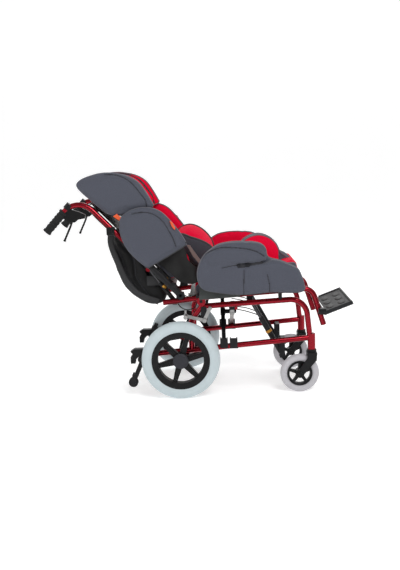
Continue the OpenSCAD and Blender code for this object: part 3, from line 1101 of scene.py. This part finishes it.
def mirrored_seams(seams: Sequence[Seam], side: Side) -> list[Seam]:
    """Returns seams whose drawn face is the outer one of a side."""
    return [replace(s, faces=s.faces * side.value) for s in seams]


@dataclass(frozen=True)
class BackFrame:
    """Turns heights along the canes and depths ahead of them into side-view points."""

    foot: Pair = (5.0, 398.0)
    up: Pair = (-0.6931, 0.7208)
    out: Pair = (0.7208, 0.6931)

    def at(self, height: float, depth: float) -> Pair:
        """Returns the side-view point in millimetres."""
        return (self.foot[0] + self.up[0] * height + self.out[0] * depth,
                self.foot[1] + self.up[1] * height + self.out[1] * depth)


BACK = BackFrame()


def over_rail(x: float, lift: float) -> Pair:
    """Returns the side-view point a lift above the seat rails at x, in millimetres."""
    return (x, 386 + (x - 120) * (0.1 if x < 120 else 0.0554) + lift)


def within(limit: float) -> Lined:
    """Returns a rule that lines the faces nearer the middle than a distance in millimetres."""
    return lambda centres, normals: np.abs(centres[:, 1]) < limit * MM


def beyond(limit: float) -> Lined:
    """Returns a rule that lines the faces farther out than a distance in millimetres."""
    return lambda centres, normals: np.abs(centres[:, 1]) > limit * MM


@dataclass
class ArmPad:
    """Padded arm support of one side, with its upper roll, stitched seams, painted shade in its slot and
    piped hem.
    """

    side: Side
    inner: float = 219.0
    outer: float = 262.0

    BODY = ((75, 470), (76, 500), (92, 542), (125, 580), (165, 600), (210, 606), (265, 606), (302, 602),
            (328, 590), (340, 570), (337, 550), (322, 534), (295, 526), (262, 524), (240, 523), (235, 519),
            (240, 514), (262, 514), (300, 516), (330, 524), (358, 535), (388, 531), (414, 519), (438, 508),
            (457, 496), (471, 465), (481, 430), (474, 411), (424, 408), (350, 412), (250, 405), (180, 411),
            (110, 424), (84, 440))
    ROLL = ((112, 536), (120, 560), (150, 586), (200, 598), (265, 598), (305, 593), (326, 574), (318, 552),
            (296, 542), (250, 540), (190, 537), (140, 532))
    BACKING = ((206, 496), (206, 545), (316, 548), (350, 540), (372, 524), (300, 500))
    SEAMS = (Seam(((83, 531), (112, 567), (158, 586), (194, 588), (250, 583), (296, 571), (328, 551)), 1,
                  4.5, 5.5),
             Seam(((172, 512), (190, 515), (210, 518), (230, 519)), 1, 5.0, 5.0, False, 1.2),
             # Painted shade: the next two grooves carry wide thread-coloured bands, the shade deep in the
             # slot and along the rest of it.
             Seam(((233, 518), (248, 519), (268, 520)), 1, 8.0, 8.0, False, 8.5),
             Seam(((262, 520), (290, 523), (320, 528)), 1, 7.0, 7.0, False, 5.0),
             Seam(((252, 502), (250, 460), (249, 408)), 1, 6.0, 4.2),
             Seam(((338, 482), (345, 448), (347, 413)), 1, 6.0, 4.2))

    def cushion(self) -> Cushion:
        """Describes the pad.

        Returns:
            The cushion, not yet built.
        """
        s = self.side.value
        return Cushion(f"{self.side.word}_arm_cushion", f"{self.side.word}_arm",
                       (f"{self.side.word}_arm_pad",),
                       (Slab(self.BODY, s * self.inner, s * (self.outer - 2), 0.0, (25,)),
                        Slab(self.ROLL, s * (self.inner + 4), s * (self.outer + 4), 0.0),
                        Slab(self.BACKING, s * (self.inner + 1), s * (self.inner + 18), 0.0)),
                       GREY_KNIT, RED_KNIT, within(self.inner + 5),
                       mirrored_seams(self.SEAMS, self.side), 6.0, soften=9)

    def trim(self, pad: Cushion) -> None:
        """Adds thread and piping.

        Args:
            pad: The finished cushion.
        """
        pad.thread_on(self.side)
        pad.welt("welt", self.side.value * (self.inner + 5) * MM)
        low = AXLE_X + 0.088
        pad.welt("hem", self.side.value * (self.outer - 12) * MM, THIN_WELT, DARK_PIPING,
                 lambda p: p.z < 0.428 and low < p.x)


@dataclass
class SidePad:
    """Side support of the back on one side."""

    side: Side
    inner: float = 184.0
    outer: float = 205.0

    BODY = ((-218, 690), (-206, 714), (-172, 735), (-134, 744), (-96, 742), (-59, 727), (-29, 698), (14, 643),
            (41, 596), (-116, 508), (-162, 549), (-199, 597), (-216, 645))
    SEAMS = (Seam(((-167, 721), (-128, 726), (-89, 719), (-51, 691), (-29, 653), (-15, 626), (-3, 590)), 1,
                  4.5, 5.5),)

    def cushion(self) -> Cushion:
        """Describes the pad.

        Returns:
            The cushion, not yet built.
        """
        s = self.side.value
        return Cushion(f"{self.side.word}_side_cushion", f"{self.side.word}_back",
                       (f"{self.side.word}_side_pad",),
                       (Slab(self.BODY, s * self.inner, s * self.outer, 9.0, (8, 9)),),
                       GREY_KNIT, RED_KNIT, within(self.inner + 4),
                       mirrored_seams(self.SEAMS, self.side), 6.0)

    def trim(self, pad: Cushion) -> None:
        """Adds thread, piping and the orange pull tab.

        Args:
            pad: The finished cushion.
        """
        s = self.side.value
        pad.thread_on(self.side)
        pad.welt("welt", s * (self.inner + 4) * MM)
        start, run = spot(41, 596), (spot(-116, 508) - spot(41, 596)).normalized()
        across = Vector((run.z, 0, -run.x))
        pad.welt("hem", s * (self.outer - 5) * MM, 0.0024, DARK_PIPING,
                 lambda p: abs((p - start).dot(across)) < 0.016)
        tabs = (Slab(((-24, 690), (-14, 684), (-3, 662), (-6, 655), (-16, 668)), s * 196, s * 212, 1.2,
                     range(5)),
                Slab(((-241, 713), (-226, 722), (-203, 702), (-206, 690), (-224, 700)), s * 183, s * 187,
                     1.2, range(5)))
        pad.trimmed(slabs(f"{self.side.word}_pull_tab", tabs, TAB), TAB)


@dataclass
class Headrest:
    """Headrest with a centre pad and two side wings."""

    WING = ((-376, 826), (-366, 853), (-313, 872), (-268, 879), (-224, 876), (-174, 861), (-140, 839),
            (-115, 804), (-96, 769), (-90, 742), (-180, 721), (-243, 716), (-283, 738), (-329, 777))
    SEAM = ((-265, 872), (-219, 868), (-172, 844), (-134, 799), (-114, 768), (-112, 743))

    def cushion(self) -> Cushion:
        """Describes the headrest as one cover.

        Returns:
            The cushion, not yet built.
        """
        pad = [BACK.at(*p) for p in ((340, 62), (340, 108), (430, 116), (520, 118), (548, 100), (548, 62))]
        wings = [Slab(self.WING, e * 151, e * 183, 11.0) for e in (-1, 1)]
        return Cushion("headrest_cushion", "headrest", ("head_cushion",),
                       (Slab(pad, -152, 152, 10.0, (0, 5)), *wings), GREY_KNIT, RED_KNIT,
                       lambda centres, normals: (np.abs(centres[:, 1]) < 0.156)
                       & (normals[:, 0] * BACK.out[0] + normals[:, 2] * BACK.out[1] > -0.3),
                       [Seam(self.SEAM, e, 4.5, 5.5) for e in (-1, 1)], 9.0)

    def trim(self, pad: Cushion) -> None:
        """Adds thread and the piped inner edges.

        Args:
            pad: The finished cushion.
        """
        for side in Side:
            pad.thread_on(side)
            pad.welt(f"welt_{side.word}", side.value * 0.157)


@dataclass
class SeatCushions:
    """Contoured seat cushion and the pommel on it."""

    def cushion(self) -> Cushion:
        """Describes the seat cushion.

        Returns:
            The cushion, not yet built.
        """
        line = (over_rail(64, 17), over_rail(120, 17), over_rail(470, 17), (465, 450), (460, 476), (463, 500),
                (456, 513), (440, 514), (418, 506), (350, 470), (270, 446), (180, 438), (76, 438), (62, 424))
        return Cushion("seat_pad", "seat_upholstery", ("seat_cushion",), (Slab(line, -146, 146, 12.0, (0,)),),
                       RED_KNIT, GREY_KNIT, beyond(141), (), 6.0, 6.0, held=(0.0, 0.0, -1.0))

    def trim(self, pad: Cushion) -> None:
        """Adds the piped edges."""
        pad.edge_welts(0.141)

    def pommel(self) -> Cushion:
        """Describes the pommel.

        Returns:
            The cushion, not yet built.
        """
        cheek = ((268, 445), (350, 464), (392, 492), (403, 518), (402, 545), (389, 576), (360, 600),
                 (322, 611), (284, 603), (254, 582), (248, 555), (256, 500))
        nose = ((340, 462), (425, 489), (453, 493), (450, 512), (432, 530), (404, 543), (360, 548),
                (330, 520))
        return Cushion("pommel_pad", "seat_upholstery", ("pommel",),
                       (Slab(cheek, -42, 42, 11.0, (0,)), Slab(nose, -35, 35, 11.0)), GREY_KNIT, RED_KNIT,
                       lambda centres, normals: (np.abs(centres[:, 1]) > 0.036)
                       & (centres[:, 0] < AXLE_X + 0.399), (), 6.0, held=(0.0, 0.0, -1.0))

    def trim_pommel(self, pad: Cushion) -> None:
        """Adds the piped edges of both cheeks."""
        pad.edge_welts(0.034, WIDE_WELT)


@dataclass
class BackCushions:
    """Main back cushion and the domed lumbar cushion on it."""

    def cushion(self) -> Cushion:
        """Describes the back cushion.

        Returns:
            The cushion, not yet built.
        """
        line = [BACK.at(*p) for p in ((64, 17), (60, 96), (80, 120), (200, 126), (316, 120), (332, 96),
                                      (332, 17))]
        return Cushion("back_pad", "right_back", ("back_cushion",), (Slab(line, -146, 146, 13.0, (0, 6)),),
                       RED_KNIT, GREY_KNIT, beyond(141), (), 6.0, 6.0,
                       held=(-BACK.out[0], 0.0, -BACK.out[1]))

    def trim(self, pad: Cushion) -> None:
        """Adds the piped edges."""
        pad.edge_welts(0.141)

    def lumbar(self) -> Cushion:
        """Describes the lumbar cushion.

        Returns:
            The cushion, not yet built.
        """
        line = [BACK.at(*p) for p in ((84, 120.5), (30, 124), (16, 170), (24, 208), (60, 226), (112, 228),
                                      (158, 208), (176, 160), (166, 125))]
        return Cushion("lumbar_pad", "right_back", ("lumbar_cushion",), (Slab(line, -121, 121, 14.0),),
                       RED_KNIT, DARK_KNIT, beyond(113), (), 6.0, crown=self.round_off)

    def round_off(self, rows: np.ndarray) -> np.ndarray:
        """Lowers the lumbar cushion towards its sides, most at its top end.

        Args:
            rows: Its vertex positions.

        Returns:
            The lowered positions.
        """
        foot = np.array(spot(*BACK.foot))
        up, out = np.array((BACK.up[0], 0, BACK.up[1])), np.array((BACK.out[0], 0, BACK.out[1]))
        height, depth = (rows - foot) @ up, (rows - foot) @ out
        drop = 0.45 * np.clip((height - 0.03) / 0.1, 0, 1) * (rows[:, 1] / 0.121) ** 2
        return rows - out * (np.clip(depth - 0.12, 0, None) * drop)[:, None]

    def trim_lumbar(self, pad: Cushion) -> None:
        """Adds the piped edges and the piped middle line."""
        pad.edge_welts(0.113, FAT_WELT, DARK_PIPING)
        pad.welt("welt_crown", 0.0005, FAT_WELT, DARK_PIPING)


@dataclass
class Bag:
    """Storage bag slung behind the back, with its straps."""

    LINE = ((-238, 634), (-258, 606), (-252, 543), (-240, 489), (-218, 438), (-191, 402), (-147, 369),
            (-106, 353), (-66, 362), (-58, 398), (-110, 440), (-135, 485), (-145, 530))

    def cushion(self) -> Cushion:
        """Describes the bag's slack body.

        Returns:
            The cushion, not yet built.
        """
        creases = [Seam(((-255, 600), (-225, 540), (-205, 470), (-160, 400)), 0, 10.0, 7.0, False),
                   Seam(((-225, 600), (-180, 540), (-170, 460), (-120, 385)), 0, 8.0, 6.0, False)]
        return Cushion("carry_bag", "right_back", ("storage_bag",), (Slab(self.LINE, -112, 112, 18.0),),
                       BAG_CLOTH, BAG_CLOTH, lambda centres, normals: np.zeros(len(centres)), creases,
                       8.0, 6.0, 5.0, fill=0.3)

    def trim(self, pad: Cushion) -> None:
        """Adds the side straps.

        Args:
            pad: The finished cushion.
        """
        line = outline(((-258, 655), (-262, 600), (-236, 520), (-206, 450), (-160, 398), (-84, 366)),
                       closed=False)
        for side in Side:
            path = [spot(p.x, p.y, side.value * 128) for p in line]
            pad.trimmed(tube(f"bag_strap_{side.word}", path, 0.012, STRAP, flat=0.12), STRAP)


# ---------------------------------------------------------------- sheets and panels
def thin_sheet(name: str, points: Sequence[Vector], body: str, finish: Finish, nodes: Sequence[str],
               thickness: float) -> None:
    """Makes a stretched sheet through four corners.

    Args:
        name: The piece's name.
        points: Its corners in the row frame, in order.
        body: The body it rides on.
        finish: Its finish.
        nodes: The CAD nodes that it stands for.
        thickness: Its thickness in metres.
    """
    bm = bmesh.new()
    bmesh.ops.create_grid(bm, x_segments=24, y_segments=24, size=0.5)
    a, b, c, d = (Vector(p) for p in points)
    for vert in bm.verts:
        u, v = vert.co.x + 0.5, vert.co.y + 0.5
        sag = 0.003 * math.sin(math.pi * u) * math.sin(math.pi * v)
        vert.co = (a * (1 - u) + b * u) * (1 - v) + (d * (1 - u) + c * u) * v
        vert.co += (b - a).cross(d - a).normalized() * -sag
    piece = new_object(name, bm, finish)
    solid = piece.modifiers.new("Thickness", "SOLIDIFY")
    solid.thickness, solid.offset = thickness, 0
    settle(piece, body, finish, *nodes)


@dataclass
class Slings:
    """The two fabric slings under the cushions."""

    def build(self) -> None:
        """Builds both slings."""
        seat = [spot(*over_rail(x, 13.6), y) for x, y in ((40, -158), (486, -158), (486, 158), (40, 158))]
        thin_sheet("seat_sling_sheet", seat, "seat_upholstery", SHEET, ("seat_sling",), 0.003)
        back = [spot(*BACK.at(u, 13.8), y) for u, y in ((500, -157), (40, -157), (40, 157), (500, 157))]
        thin_sheet("back_sling_sheet", back, "right_back", SHEET, ("back_sling",), 0.003)


@dataclass
class SideSkirt:
    """Coated skirt from the side support to the seat on one side, a taupe strip of painted highlight beside
    its front edge, and the side panel.
    """

    side: Side

    def build(self) -> None:
        """Builds the skirt, the taupe strip of painted highlight beside it and the seat's side panel."""
        word, s = self.side.word, self.side.value
        points = ((-90, 545), (-72, 519), (-34, 483), (3, 446), (49, 437), (76, 446), (88, 487), (60, 512),
                  (40, 534), (30, 575), (-20, 600))
        shape = Slab(points, s * 152.4, s * 154.4, 0, (0, 3, 5, 9))
        skirt = slabs(f"{word}_skirt", (shape,), SHEET)
        remesh = skirt.modifiers.new("Even", "REMESH")
        remesh.mode, remesh.voxel_size = "VOXEL", 0.0016
        apply_modifiers(skirt)
        rows = positions(skirt.data)
        ahead, height = rows[:, 0] - AXLE_X, rows[:, 2]
        folds = 0.0026 * (1 + np.sin(ahead * 62 - height * 30)) + 0.001 * np.sin(ahead * 120 + height * 40)
        rows[:, 1] += s * folds
        set_positions(skirt.data, rows)
        settle(skirt, f"{word}_back", SHEET)
        line = shape.line()
        across, high = (max(p[k] for p in line) - min(p[k] for p in line) for k in (0, 1))
        cut = abs(sum(a.cross(b) for a, b in zip(line, line[1:] + line[:1]))) / 2
        across * MM
        high * MM
        cut * MM * MM
        # Painted highlight: a taupe strip beside the skirt's front edge stands for the highlight along the
        # sheet's fold.
        painted_highlight_strip = Slab(((34, 592), (48, 588), (88, 528), (84, 512), (58, 545)), s * 142, s * 148, 1.5, range(5))
        settle(slabs(f"{word}_liner", (painted_highlight_strip,), SKIRT_HIGHLIGHT), f"{word}_back", SKIRT_HIGHLIGHT)
        panel = Slab(((78, 384), (82, 440), (110, 440), (236, 420), (236, 392)), s * 215.2, s * 218, 1.0,
                     range(5), 20)
        settle(slabs(f"{word}_side_panel", (panel,), PANEL_VINYL), f"{word}_seat", PANEL_VINYL)


# ---------------------------------------------------------------- hard details
@dataclass
class Details:
    """Cables, bolts, clamps and levers of one side."""

    side: Side

    def part(self, name: str, body: str, finish: Finish, *solids: tuple) -> None:
        """Builds a piece of boxes and rods.

        Args:
            name: The piece's name after its side.
            body: The body's name after its side.
            finish: Its finish.
            solids: ("box", low XZ, high XZ, from Y, to Y) or ("rod", XZY, XZY, radius), in millimetres.
        """
        bm = bmesh.new()
        s = self.side.value
        for kind, first, second, *rest in solids:
            if kind == "box":
                low, high = spot(first[0], first[1], s * rest[0]), spot(second[0], second[1], s * rest[1])
                size = Vector(abs(h - l) for h, l in zip(high, low))
                made = bmesh.ops.create_cube(bm, size=1.0)["verts"]
                bmesh.ops.scale(bm, vec=size, verts=made)
                bmesh.ops.translate(bm, vec=(low + high) / 2, verts=made)
                bevel(bm, list({e for v in made for e in v.link_edges}), min(size) * 0.16, 2)
            else:
                a = spot(first[0], first[1], s * first[2])
                b = spot(second[0], second[1], s * second[2])
                turn = (b - a).to_track_quat("Z", "Y").to_matrix().to_4x4()
                bmesh.ops.create_cone(bm, cap_ends=True, segments=20, radius1=rest[0] * MM,
                                      radius2=rest[0] * MM, depth=(b - a).length,
                                      matrix=Matrix.Translation((a + b) / 2) @ turn)
        piece = new_object(f"{self.side.word}_{name}", bm, finish)
        piece.data.set_sharp_from_angle(angle=SHARP)
        settle(piece, f"{self.side.word}_{body}", finish)

    def cable(self, name: str, body: str, points: Sequence[tuple[float, float, float]], radius: float = 2.4,
              finish: Finish = CABLE) -> None:
        """Lays a cable through side-view points with their distances out.

        Args:
            name: The piece's name after its side.
            body: The body's name after its side.
            points: X, Z and distance out of each point, in millimetres.
            radius: Its radius in millimetres.
            finish: Its finish.
        """
        flat = outline([(p[0], p[1]) for p in points], closed=False, step=8)
        count = len(flat)
        outs = np.interp(np.linspace(0, len(points) - 1, count), range(len(points)), [p[2] for p in points])
        line = [spot(p.x, p.y, self.side.value * out) for p, out in zip(flat, outs)]
        made = tube(f"{self.side.word}_{name}", line, radius * MM, finish)
        settle(made, f"{self.side.word}_{body}", finish)

    def build(self) -> None:
        """Builds every small part of the side."""
        self.part("cane_clamp", "back", BLACK_PLASTIC,
                  ("box", (-270, 640), (-238, 672), 161, 186), ("rod", (-254, 656, 160), (-254, 656, 190), 6))
        self.part("strut_block", "back", STRAP, ("box", (-128, 432), (-78, 470), 119, 127))
        self.part("strut_ring", "recline_strut", GOLD, ("rod", (-54, 422, 134), (-62, 434, 134), 11))
        if self.side is Side.RIGHT:
            self.part("tilt_ring", "tilt_strut", GOLD, ("rod", (346, 240, 125), (351, 231, 125), 12.6))
        low, high, knob = BACK.at(0, 0), BACK.at(262, 0), BACK.at(46, 6)
        self.part("cane_sleeve", "back", BLACK_METAL, ("rod", (*low, 172), (*high, 172), 12.6),
                  ("rod", (*low, 167.4), (*low, 185), 16),
                  ("rod", (*BACK.at(96, 0), 172), (*BACK.at(126, 0), 172), 15),
                  ("box", (knob[0] - 14, knob[1] - 10), (knob[0] + 14, knob[1] + 12), 160, 184))
        self.cable("brake_cable", "back", ((-388, 744, 172), (-345, 747, 178), (-305, 706, 184),
                                           (-234, 634, 184.5), (-194, 592, 184)), 2.0)
        self.cable("cable_loop", "seat", ((-62, 425, 150), (-30, 392, 150), (-12, 368, 149), (4, 345, 148),
                                          (31, 334, 148), (58, 343, 148), (66, 364, 150)), 2.0)
        self.cable("release_rod_a", "frame", ((208, 338, 120), (260, 330, 118), (312, 310, 114)), 2.0)
        self.cable("release_rod_b", "frame", ((208, 328, 120), (255, 318, 118), (312, 298, 114)), 2.0)
        self.part("lock_handle", "wheel_lock", BRIGHT, ("rod", (119, 348, 200), (119, 348, 214), 5),
                  ("rod", (96, 300, 200), (96, 300, 207), 8), ("rod", (24, 343, 206), (24, 310, 206), 4))
        tip, grip_end = Vector((-430.3, 735.4)), Vector((-502, 659))
        rings = [tip.lerp(grip_end, k) for k in (0.2, 0.34, 0.48, 0.62, 0.76)]
        step = (grip_end - tip).normalized() * 3.5
        self.part("grip_ribs", "back", GRIP_RUBBER,
                  *(("rod", (*(p - step), 172), (*(p + step), 172), 16.6) for p in rings))
        self.part("axle_nut", "rear_wheel", BRIGHT, ("rod", (0, 152.5, 247), (0, 152.5, 251), 7))
        self.part("hanger_tab", "frame", PAINT, ("box", (215, 334), (226, 352), 170, 176))
        self.part("seat_catch", "seat", BLACK_PLASTIC, ("box", (386, 372), (398, 396), 160, 190))
        self.part("foot_clamp", "seat", BLACK_PLASTIC, ("box", (540, 306), (570, 330), 158, 186))


@dataclass
class Footplate:
    """Raised pads on the footplate's tread, and the bars of its two ends."""

    pad: tuple[float, float, float] = (0.015, 0.03, 0.0035)
    bar: float = 0.0045

    def build(self) -> None:
        """Adds the raised ovals and the end bars on the tread's top face."""
        mesh = frame["nodes"]["footplate"].data
        top = max((f for f in mesh.polygons if f.normal.z > 0.5), key=lambda f: f.area)
        normal, corner = top.normal.copy(), mesh.vertices[top.vertices[0]].co.copy()
        across = (SIDEWAYS - normal * normal.y).normalized()
        along = across.cross(normal)
        flat = [v.co - corner for v in mesh.vertices if abs((v.co - corner).dot(normal)) < 1e-4]
        low_u, high_u = (pick(p.dot(along) for p in flat) for pick in (min, max))
        low_v, high_v = (pick(p.dot(across) for p in flat) for pick in (min, max))
        turn = Matrix((along, across, normal)).transposed().to_4x4()
        bm = bmesh.new()
        for share_u in (0.3, 0.7):
            for share_v in (0.24, 0.5, 0.76):
                centre = corner + along * (low_u + (high_u - low_u) * share_u)
                centre = centre + across * (low_v + (high_v - low_v) * share_v)
                oval = Matrix.Translation(centre) @ turn @ Matrix.Diagonal((*self.pad, 1))
                bmesh.ops.create_uvsphere(bm, u_segments=28, v_segments=12, radius=1.0, matrix=oval)
        upright = turn @ Matrix.Rotation(math.pi / 2, 4, "X")
        for u in (low_u + self.bar, high_u - self.bar):
            centre = corner + along * u + across * (low_v + high_v) / 2 + normal * 0.001
            bmesh.ops.create_cone(bm, cap_ends=True, segments=20, radius1=self.bar, radius2=self.bar,
                                  depth=high_v - low_v - 0.006, matrix=Matrix.Translation(centre) @ upright)
        piece = new_object("tread_pads", bm, FOOT_TRIM)
        piece.data.set_sharp_from_angle(angle=SHARP)
        settle(piece, "footplate", FOOT_TRIM)


# ---------------------------------------------------------------- CAD nodes
def finish_nodes() -> None:
    """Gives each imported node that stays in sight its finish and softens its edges."""
    rules = (("side_frame", PAINT), ("seat_rail", PAINT), ("back_cane", PAINT), ("fittings", BLACK_METAL),
             ("brace_arm_a", BLACK_METAL), ("brace_arm_b", BRIGHT), ("rear_tyre", TYRE),
             ("caster_tyre", CASTER_TYRE), ("rim", BLACK_PLASTIC), ("fork", BLACK_PLASTIC),
             ("hub_cap", CAP_PLASTIC), ("lock_lever", BRIGHT), ("antitip_bar", BLACK_METAL),
             ("tip_pedal", BLACK_PLASTIC), ("roller", ROLLER), ("cylinder", BLACK_METAL),
             ("rod", DARK_CHROME), ("handle_grip", GRIP_RUBBER), ("brake_body", BLACK_PLASTIC),
             ("brake_lever", BLACK_METAL), ("footplate", FOOT_PLASTIC), ("head_post", BLACK_METAL))
    for name, node in frame["nodes"].items():
        finish = next((f for word, f in rules if word in name), None)
        if finish is None:
            continue
        node.data.materials.clear()
        node.data.materials.append(PALETTE.of(finish))
        node.data.set_sharp_from_angle(angle=math.radians(35))
        edge = node.modifiers.new("Edges", "BEVEL")
        edge.width, edge.segments, edge.limit_method = 0.0006, 2, "ANGLE"
        edge.angle_limit = SHARP
    log.info("packed nodes finished")


# ---------------------------------------------------------------- studio
@dataclass
class Studio:
    """Pale studio with soft lights, a glowing floor painted darker away from the backdrop as painted shade,
    and the camera.
    """

    eye: tuple[float, float, float] = (0.151, -3.084, 0.891)
    yaw: float = -1.35
    pitch: float = -8.89
    roll: float = -1.94
    lens: float = 47.9
    reach: float = 8.0
    high: float = 9.0
    bend: float = 3.0
    glow: float = 0.36
    sky: float = 0.42

    LIGHTS = (("key", (1.2, -2.6, 3.0), 1.6, 70), ("fill", (-2.6, -2.0, 1.8), 1.8, 22),
              ("back", (0.4, 2.8, 2.6), 2.0, 30))

    def camera(self) -> None:
        """Places the camera."""
        yaw, pitch, roll = (math.radians(v) for v in (self.yaw, self.pitch, self.roll))
        look = Vector((math.sin(yaw) * math.cos(pitch), math.cos(yaw) * math.cos(pitch), math.sin(pitch)))
        right = Vector((math.cos(yaw), -math.sin(yaw), 0))
        up = right.cross(look)
        side = right * math.cos(roll) + up * math.sin(roll)
        top = up * math.cos(roll) - right * math.sin(roll)
        data = bpy.data.cameras.new("camera")
        data.lens, data.sensor_width, data.sensor_fit = self.lens, 36, "AUTO"
        data.clip_end = 50
        camera = linked("camera", data)
        turn = Matrix((side, top, -look)).transposed().to_4x4()
        where = Vector((self.eye[0] + AXLE_X, self.eye[1], self.eye[2]))
        camera.matrix_world = Matrix.Translation(where) @ turn
        bpy.context.scene.camera = camera

    def light(self, name: str, place: tuple[float, float, float], size: float, power: float) -> None:
        """Adds an area light that faces the chair.

        Args:
            name: The light's name.
            place: Where it stands, in metres.
            size: The width of its square in metres.
            power: Its power in watts.
        """
        data = bpy.data.lights.new(name, "AREA")
        data.shape, data.size, data.energy = "SQUARE", size, power
        lamp = linked(name, data)
        lamp.location = place
        lamp.rotation_euler = (Vector((0, 0, 0.4)) - Vector(place)).to_track_quat("-Z", "Y").to_euler()

    def build(self) -> None:
        """Builds the floor, the world, the lights and the camera."""
        bm = bmesh.new()
        bmesh.ops.create_cone(bm, cap_ends=True, segments=96, radius1=self.reach, radius2=self.reach,
                              depth=self.high, matrix=Matrix.Translation((0, 0, self.high / 2)))
        lid = [f for f in bm.faces if f.normal.z > 0.9]
        bmesh.ops.delete(bm, geom=lid, context="FACES_ONLY")
        bend = [e for e in bm.edges if all(v.co.z < 0.1 for v in e.verts)]
        bevel(bm, bend, self.bend, 16)
        bmesh.ops.reverse_faces(bm, faces=bm.faces)
        floor = new_object("floor", bm)
        g = Graph("pale_floor")
        apart = g.add("ShaderNodeSeparateXYZ", {}, {"Vector": g.place()}, "X")
        along = g.add("ShaderNodeSeparateXYZ", {}, {"Vector": g.place()}, "Y")
        # Painted shade: away from the backdrop behind the chair the floor is painted darker grey and glows
        # less, standing in for the studio's unlit surround.
        ahead = (along - apart.math("ABSOLUTE") * 0.6).above(-5.5, -2.5)
        floor.data.materials.append(g.done(Base_Color=g.blend((0.3, 0.3, 0.3), (0.9, 0.9, 0.9), ahead),
                                           Roughness=0.7 + g.noise(3) * 0.1, Specular_IOR_Level=0.1,
                                           Emission_Color=g.blend((0.6, 0.6, 0.6), (1, 1, 1), ahead),
                                           Emission_Strength=self.glow))
        world = bpy.data.worlds.new("studio")
        world.use_nodes = True
        world.node_tree.nodes["Background"].inputs["Color"].default_value = (1, 1, 1, 1)
        world.node_tree.nodes["Background"].inputs["Strength"].default_value = self.sky
        bpy.context.scene.world = world
        bpy.context.scene.view_settings.view_transform = "Standard"
        for lamp in self.LIGHTS:
            self.light(*lamp)
        self.camera()


# ---------------------------------------------------------------- assembly
def puff_all(cushions: Sequence[Cushion]) -> None:
    """Args:
        cushions: The shaped cushions.
    """
    scene = bpy.context.scene
    scene.frame_start, scene.frame_end = 1, LAST_FRAME
    for cushion in cushions:
        cushion.start_puffing()
    for step in range(1, LAST_FRAME + 1):
        scene.frame_set(step)
    for cushion in cushions:
        cushion.keep_puff()
    scene.frame_set(1)


def build_soft() -> None:
    """Builds every cushion and its trim."""
    seat, back, head, bag = SeatCushions(), BackCushions(), Headrest(), Bag()
    jobs: list[tuple[Cushion, Callable[[Cushion], None]]] = []
    for side in Side:
        arm, support = ArmPad(side), SidePad(side)
        jobs += [(arm.cushion(), arm.trim), (support.cushion(), support.trim)]
    central = [(seat.cushion(), seat.trim), (seat.pommel(), seat.trim_pommel), (back.cushion(), back.trim),
               (back.lumbar(), back.trim_lumbar), (head.cushion(), head.trim), (bag.cushion(), bag.trim)]
    everything = jobs + central
    for cushion, _ in everything:
        cushion.shape()
    puff_all([cushion for cushion, _ in everything])
    for cushion, trim in everything:
        cushion.sew()
        trim(cushion)


def fold_with_frame() -> None:
    """Gives every soft or trim piece that rides between the frames its own copy of its mesh."""
    across = ("right_back", "seat_upholstery", "headrest")
    words = ("pad", "cushion", "sling", "welt", "bag", "strap", "thread")
    for piece in bpy.context.scene.objects:
        central = piece.get("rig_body") in across and not piece.name.startswith(("right_", "left_"))
        soft = piece.type == "MESH" and any(word in piece.name for word in words)
        if central and soft and "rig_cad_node" not in piece:
            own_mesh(piece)


def main() -> None:
    """Builds the chair and reports."""
    finish_nodes()
    build_soft()
    Slings().build()
    for side in Side:
        SideSkirt(side).build()
        Details(side).build()
    Footplate().build()
    fold_with_frame()
    Studio().build()


if __name__ == "__main__":
    main()
